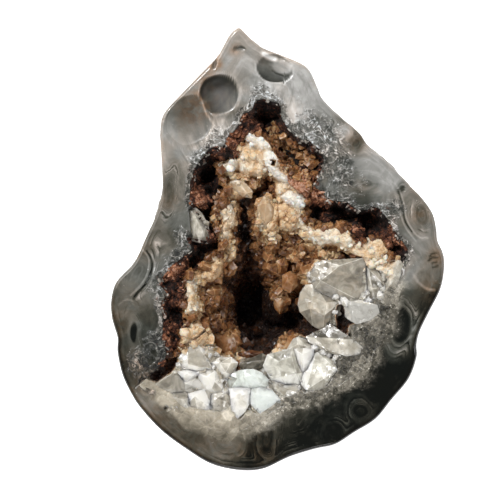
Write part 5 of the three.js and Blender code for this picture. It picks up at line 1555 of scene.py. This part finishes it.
def growth_tree(name, field, material):
    """Nodes that scatter shapes over a surface, pointing out of it, as thick as a field says."""
    inputs = {"Geometry": "Geometry", "Shapes": "Collection", "Spacing": "Float", "Smallest": "Float"}
    inputs |= {"Largest": "Float", "Lean": "Float", "Seed": "Int"}
    nodes, given = new_group(name, inputs, {"Geometry": "Geometry"}, "GeometryNodeTree")

    def named(label):
        settings = {"Name": label}
        return nodes.new("GeometryNodeInputNamedAttribute", settings, data_type="FLOAT").outputs["Attribute"]

    def random_number(low, high, offset):
        seed = nodes.math("ADD", given["Seed"], float(offset))
        return nodes.new("FunctionNodeRandomValue", {2: low, 3: high, 8: seed}, data_type="FLOAT").outputs[1]

    points = nodes.new(
        "GeometryNodeDistributePointsOnFaces",
        {
            "Mesh": given["Geometry"],
            "Distance Min": given["Spacing"],
            "Density Max": 4e6,
            "Density Factor": named(field),
            "Seed": given["Seed"],
        },
        distribute_method="POISSON",
    ).outputs
    sway = nodes.new("FunctionNodeRandomValue", {0: (-1, -1, -1), 1: (1, 1, 1)}, data_type="FLOAT_VECTOR")
    leaning = nodes.vector("SCALE", sway.outputs[0], Scale=given["Lean"])
    aim = nodes.vector("ADD", points["Normal"], leaning)
    align = nodes.new("FunctionNodeAlignRotationToVector", {"Vector": aim}, axis="Z")
    angle = random_number(0.0, 6.283, 1)
    spin = nodes.new("FunctionNodeAxisAngleToRotation", {"Axis": (0, 0, 1), "Angle": angle})
    rotation = nodes.new(
        "FunctionNodeRotateRotation",
        {"Rotation": align.outputs[0], "Rotate By": spin.outputs[0]},
        rotation_space="LOCAL",
    )
    width = nodes.times(random_number(given["Smallest"], given["Largest"], 2), named("size"))
    height = nodes.times(width, random_number(0.8, 1.35, 3))
    forms = nodes.new(
        "GeometryNodeCollectionInfo",
        {"Collection": given["Shapes"], "Separate Children": True, "Reset Children": True},
    )
    placed = nodes.new(
        "GeometryNodeInstanceOnPoints",
        {
            "Points": points["Points"],
            "Instance": forms.outputs[0],
            "Pick Instance": True,
            "Rotation": rotation.outputs[0],
            "Scale": nodes.add("CombineXYZ", {"X": width, "Y": width, "Z": height}).outputs[0],
        },
    )
    marked = nodes.new(
        "GeometryNodeStoreNamedAttribute",
        {"Geometry": placed.outputs[0], "Name": "pick", "Value": random_number(0.0, 1.0, 4)},
        data_type="FLOAT",
        domain="INSTANCE",
    )
    realized = nodes.new("GeometryNodeRealizeInstances", {"Geometry": marked.outputs[0]})
    dressed = nodes.new("GeometryNodeSetMaterial", {"Geometry": realized.outputs[0], "Material": material})
    return give(nodes, Geometry=dressed.outputs[0])


def grow_on(ground, name, material, shapes, spacing, smallest, largest, lean, field, seed):
    """Small shapes scattered over a surface, cut off where the saw went, as one plain mesh."""
    settings = {
        "Shapes": shapes,
        "Spacing": spacing * MM,
        "Smallest": smallest * MM,
        "Largest": largest * MM,
        "Lean": lean,
        "Seed": seed,
    }
    holder = link_object(name + "_ground", ground.data.copy())
    modifier = holder.modifiers.new("growth", "NODES")
    modifier.node_group = growth_tree(name, field, material)
    for socket in modifier.node_group.interface.items_tree:
        if socket.name in settings:
            modifier[socket.identifier] = settings[socket.name]
    bpy.context.view_layer.update()
    mesh = bpy.data.meshes.new_from_object(holder.evaluated_get(bpy.context.evaluated_depsgraph_get()))
    mesh.name = name
    mesh.materials.clear()
    mesh.materials.append(material)
    mesh.polygons.foreach_set("material_index", np.zeros(len(mesh.polygons), np.int32))
    bpy.data.objects.remove(holder)
    face_out(mesh, FACE - SAWN_DEPTH)
    join_as_part(link_object(name, mesh))


def shape_collection(name, shapes):
    """A collection of helper shapes, kept out of the scene, each face a fan round its middle."""
    collection = bpy.data.collections.new(name)
    for k, (points, faces, tip) in enumerate(shapes):
        owner, fans = [], []
        for number, face in enumerate(faces):
            owner += [number] * len(face)
            fans += [(a, b, len(points) + number) for a, b in zip(face, face[1:] + face[:1])]
        middles = np.array([points[face].mean(0) for face in faces])
        mesh = bpy.data.meshes.new(f"{name} {k}")
        mesh.from_pydata(np.vstack([points, middles]).tolist(), [], fans)
        middle_tips = [tip[face].mean() for face in faces]
        # rim is 1 on the faces' edges and 0 at their middles, for a painted edge highlight.
        rim = np.concatenate([np.ones(len(points)), np.zeros(len(faces))])
        add_numbers(mesh, {"tip": np.concatenate([tip, middle_tips]), "rim": rim})
        lightness = np.random.default_rng(40 + k).random(len(faces))
        add_numbers(mesh, {"facet": lightness[owner]}, "FACE")
        collection.objects.link(bpy.data.objects.new(mesh.name, mesh))
    return collection


def points_and_faces(shape):
    """The points and faces of a shape that isn't needed any more."""
    shape.verts.index_update()
    points = np.array([vert.co for vert in shape.verts])
    faces = [[vert.index for vert in face.verts] for face in shape.faces]
    shape.free()
    return points, faces


CRYSTAL_FACES = (
    [[5, 4, 3, 2, 1, 0]]
    + [[k, (k + 1) % 6, 6 + (k + 1) % 6, 6 + k] for k in range(6)]
    + [[6 + k, 6 + (k + 1) % 6, 12] for k in range(6)]
)


def crystal_points(random, prism, tip):
    """Points of one uneven six-sided crystal of radius 1: its root, its shoulders and its tip."""
    turns = np.radians(60 * np.arange(6) + random.uniform(-7, 7, 6))
    radii = 1 + random.uniform(-0.2, 0.15, 6)
    heights = prism + random.uniform(-0.3, 0.3, 6) * min(1.0, 0.5 + prism)
    apex = [*random.uniform(-0.28, 0.28, 2), prism + tip]
    return np.vstack([ring(0.8 * radii, turns, -1.1, (0, 0)), ring(radii, turns, heights, (0, 0)), [apex]])


def crystal_shapes():
    """Uneven quartz points, and crowded crystals of which only a few large faces stand out."""
    random = np.random.default_rng(5)
    shapes = []
    for _ in range(4):
        points = crystal_points(random, random.uniform(0.0, 0.6), random.uniform(0.7, 1.1))
        shapes.append((points, CRYSTAL_FACES))
    for _ in range(8):
        block = bmesh.new()
        places = random.normal(size=(11, 3))
        places *= (random.uniform(0.8, 1.1, 11) / np.linalg.norm(places, axis=1))[:, None]
        verts = [block.verts.new(place) for place in places * (1.1, 0.8, 0.9)]
        bmesh.ops.convex_hull(block, input=verts)
        bmesh.ops.dissolve_limit(block, angle_limit=math.radians(22), verts=block.verts, edges=block.edges)
        shapes.append(points_and_faces(block))
    sunk = [(points - (0, 0, 0.3), faces, between(points[:, 2], 0.0, 1.0)) for points, faces in shapes]
    return shape_collection("crystal shape", sunk)


FLAKE_SHAPES = [(1.0, 0.8, 0.7), (1.5, 0.5, 0.3), (1.3, 0.9, 0.25)]


def lump_shapes():
    """Crumbs and flakes of iron oxide."""
    shapes = []
    for k in range(6):
        ball = bmesh.new()
        bmesh.ops.create_icosphere(ball, subdivisions=1, radius=1.0)
        points, faces = points_and_faces(ball)
        points *= (1 + 0.5 * rough(points + 7 * k, 1.1, 91 + k, 2))[:, None]
        points *= FLAKE_SHAPES[k % len(FLAKE_SHAPES)]
        shapes.append((points, faces, np.zeros(len(points))))
    return shape_collection("rust crumb", shapes)


# Large crystals

INTERGROWTH = 1.15  # how far large crystals reach into their neighbours
FINE_STEP = 0.3  # the longest edge in the finely split faces of large crystals
WORN_EDGE = 0.035  # width of the dulled edges of large crystals
# Paleness of the bevelled edge faces: a painted highlight along the dulled edges.
LIT_EDGE_TONE = 0.6


def split_and_mark_lit_edges(shape, edges):
    """Splits faces finely, with a number on each point that is 1 at an edge and falls off inside, for a
    painted highlight along the edges.
    """
    for _ in range(6):
        bmesh.ops.triangulate(shape, faces=shape.faces[:])
        long_edges = [edge for edge in shape.edges if edge.calc_length() > FINE_STEP * MM]
        bmesh.ops.subdivide_edges(shape, edges=long_edges, cuts=1)
    bmesh.ops.triangulate(shape, faces=shape.faces[:])
    shape.normal_update()
    rim = shape.verts.layers.float["rim"]
    places = np.array([vert.co for vert in shape.verts]) / MM
    distances = distance_to_edges(places, edges[:, 0], edges[:, 1] - edges[:, 0])
    lifts = 0.04 * rough(places, 0.8, 95, 3)
    for vert, distance, lift in zip(shape.verts, distances, lifts):
        vert[rim] = math.exp(-distance / 0.3)
        vert.co += vert.normal * (lift * MM)


def make_traced_crystals(kind, material):
    """The large crystals of one kind as one mesh, flat where the saw cut them."""
    shape = bmesh.new()
    names = ("tone", "iron", "size", "chips", "rim")
    for name in names:
        shape.verts.layers.float.new(name)
    tone, iron, size, chips, _ = (shape.verts.layers.float[name] for name in names)
    for crystal_kind, top, height, own_tone, own_iron, outline, corners in TRACED_CRYSTALS:
        if crystal_kind != kind:
            continue
        outline, corners = from_photo(outline), from_photo(corners)
        middle = outline.mean(0)
        outline = toward(middle, outline, INTERGROWTH)
        girdle = top + 0.3 * height * (0.7 + 0.6 * random_cells(np.floor(outline * 10), 17))
        at_saw_cut = between(inside_distance(from_photo(STANDING), outline), 0.9, 0.1)
        girdle = toward(girdle, SAWN_DEPTH, at_saw_cut)
        root = toward(middle, outline, 0.8)
        rows = [
            np.column_stack([corners, FACE - top - 0.16 * height * random_cells(np.floor(corners * 10), 18)]),
            np.column_stack([outline, FACE - girdle]),
            np.column_stack([root, np.full(len(root), FACE - top - height)]),
        ]
        verts = [shape.verts.new(point * MM) for point in np.vstack(rows)]
        for number, vert in enumerate(verts):
            vert[tone], vert[iron], vert[size] = own_tone, own_iron, 1.0
            vert[chips] = 0.0 if number < len(corners) else 1.0
        hull = bmesh.ops.convex_hull(shape, input=verts)
        loose = [v for v in hull["geom_interior"] if isinstance(v, bmesh.types.BMVert)]
        bmesh.ops.delete(shape, geom=loose, context="VERTS")
    bmesh.ops.dissolve_limit(shape, angle_limit=math.radians(11), verts=shape.verts, edges=shape.edges)
    facet = shape.faces.layers.float.new("facet")
    for face, lightness in zip(shape.faces, np.random.default_rng(31).random(len(shape.faces))):
        face[facet] = lightness
    sharp = np.array([[vert.co for vert in edge.verts] for edge in shape.edges]) / MM
    worn = bmesh.ops.bevel(
        shape, geom=shape.edges[:], offset=WORN_EDGE * MM, segments=1, affect="EDGES", clamp_overlap=True
    )
    # The bevel's faces take the painted edge highlight.
    for face in worn["faces"]:
        face[facet] = LIT_EDGE_TONE
    split_and_mark_lit_edges(shape, sharp)
    mesh = bpy.data.meshes.new(kind + "_crystals")
    shape.to_mesh(mesh)
    shape.free()
    face_out(mesh, FACE - SAWN_DEPTH + 0.02)
    mesh.materials.append(material)
    crystals = link_object(mesh.name, mesh)
    join_as_part(crystals)
    return crystals


# The whole stone

IRON_OXIDE = make_rust()
CRUST_STONE = make_crust_stone()
DRUSE = make_druse()
MILKY_QUARTZ = make_milky_quartz()

make_agate()
lining = make_lining()
ground = make_ground()

# What grows on them, with its slot, spacing, smallest and largest size, lean, field and seed.
crystals, crumbs = crystal_shapes(), lump_shapes()
grow_on(lining, "rust_crumbs", IRON_OXIDE, crumbs, 0.3, 0.12, 0.45, 1.2, "grow", 3)
grow_on(lining, "agate_crumbs", make_agate_crumb(), crumbs, 0.24, 0.12, 0.34, 1.2, "frayed", 11)
grow_on(lining, "floor_druse", DRUSE, crystals, 0.5, 0.4, 0.85, 0.8, "druse", 8)
grow_on(ground, "druse_points", DRUSE, crystals, 0.42, 0.28, 0.8, 0.7, "grow", 4)
grow_on(ground, "quartz_points", MILKY_QUARTZ, crystals, 0.6, 0.2, 0.5, 0.7, "grow_large", 6)
milky = make_traced_crystals("milky", MILKY_QUARTZ)
grow_on(milky, "quartz_chips", MILKY_QUARTZ, crystals, 1.9, 0.25, 0.45, 0.5, "chips", 12)
make_traced_crystals("clear", make_clear_quartz())
for collection in (crystals, crumbs):
    for helper in list(collection.objects):
        bpy.data.objects.remove(helper)
    bpy.data.collections.remove(collection)

# Floor, light and camera

FLOOR_HALF = 2.0  # metres
LIGHT_AIM = Vector((0, 0, 0.015))


def make_floor():
    mesh = bpy.data.meshes.new("floor")
    corners = [(x * FLOOR_HALF, y * FLOOR_HALF, 0) for x, y in ((-1, -1), (1, -1), (1, 1), (-1, 1))]
    mesh.from_pydata(corners, [], [(0, 1, 2, 3)])
    floor = link_object("floor", mesh)
    material, shader = new_material("pale floor")
    cloud = shader.noise(shader.place(), 60.0, 3.0)
    mesh.materials.append(dress(material, shader, {
        "Base Color": shader.mix(cloud, (0.9, 0.9, 0.895), (0.93, 0.93, 0.925)),
        "Roughness": 0.9,
        "Emission Color": (1, 1, 1),
        "Emission Strength": 0.75,
    }))


def add_light(name, place, size, power):
    light = bpy.data.lights.new(name, "AREA")
    light.shape = "DISK"
    light.size = size
    light.energy = power
    lamp = link_object(name, light)
    lamp.location = place
    lamp.rotation_euler = (LIGHT_AIM - Vector(place)).to_track_quat("-Z", "Y").to_euler()


make_floor()
add_light("window", (-0.42, 0.42, 0.5), 0.7, 5.6)
add_light("lamp", (-0.24, 0.34, 0.6), 0.06, 2.2)
add_light("right fill", (0.55, 0.1, 0.4), 0.4, 1.6)
add_light("front fill", (0.0, -0.55, 0.4), 0.4, 1.2)

world = bpy.data.worlds.new("soft room")
world.use_nodes = True
world.node_tree.nodes["Background"].inputs["Color"].default_value = (0.95, 0.97, 1.0, 1)
world.node_tree.nodes["Background"].inputs["Strength"].default_value = 0.1
bpy.context.scene.world = world
bpy.context.scene.view_settings.view_transform = "Standard"

CAMERA_AIM = (-3.5, -0.1)  # the photograph's middle on the face
FRAME_WIDTH = 63.3  # width of the face's plane in view
CAMERA_DISTANCE = 230
camera = link_object("camera", bpy.data.cameras.new("camera"))
camera.location = (CAMERA_AIM[0] * MM, CAMERA_AIM[1] * MM, (FACE + CAMERA_DISTANCE) * MM)
camera.data.lens = camera.data.sensor_width * CAMERA_DISTANCE / FRAME_WIDTH
camera.data.clip_start = 0.01
bpy.context.scene.camera = camera
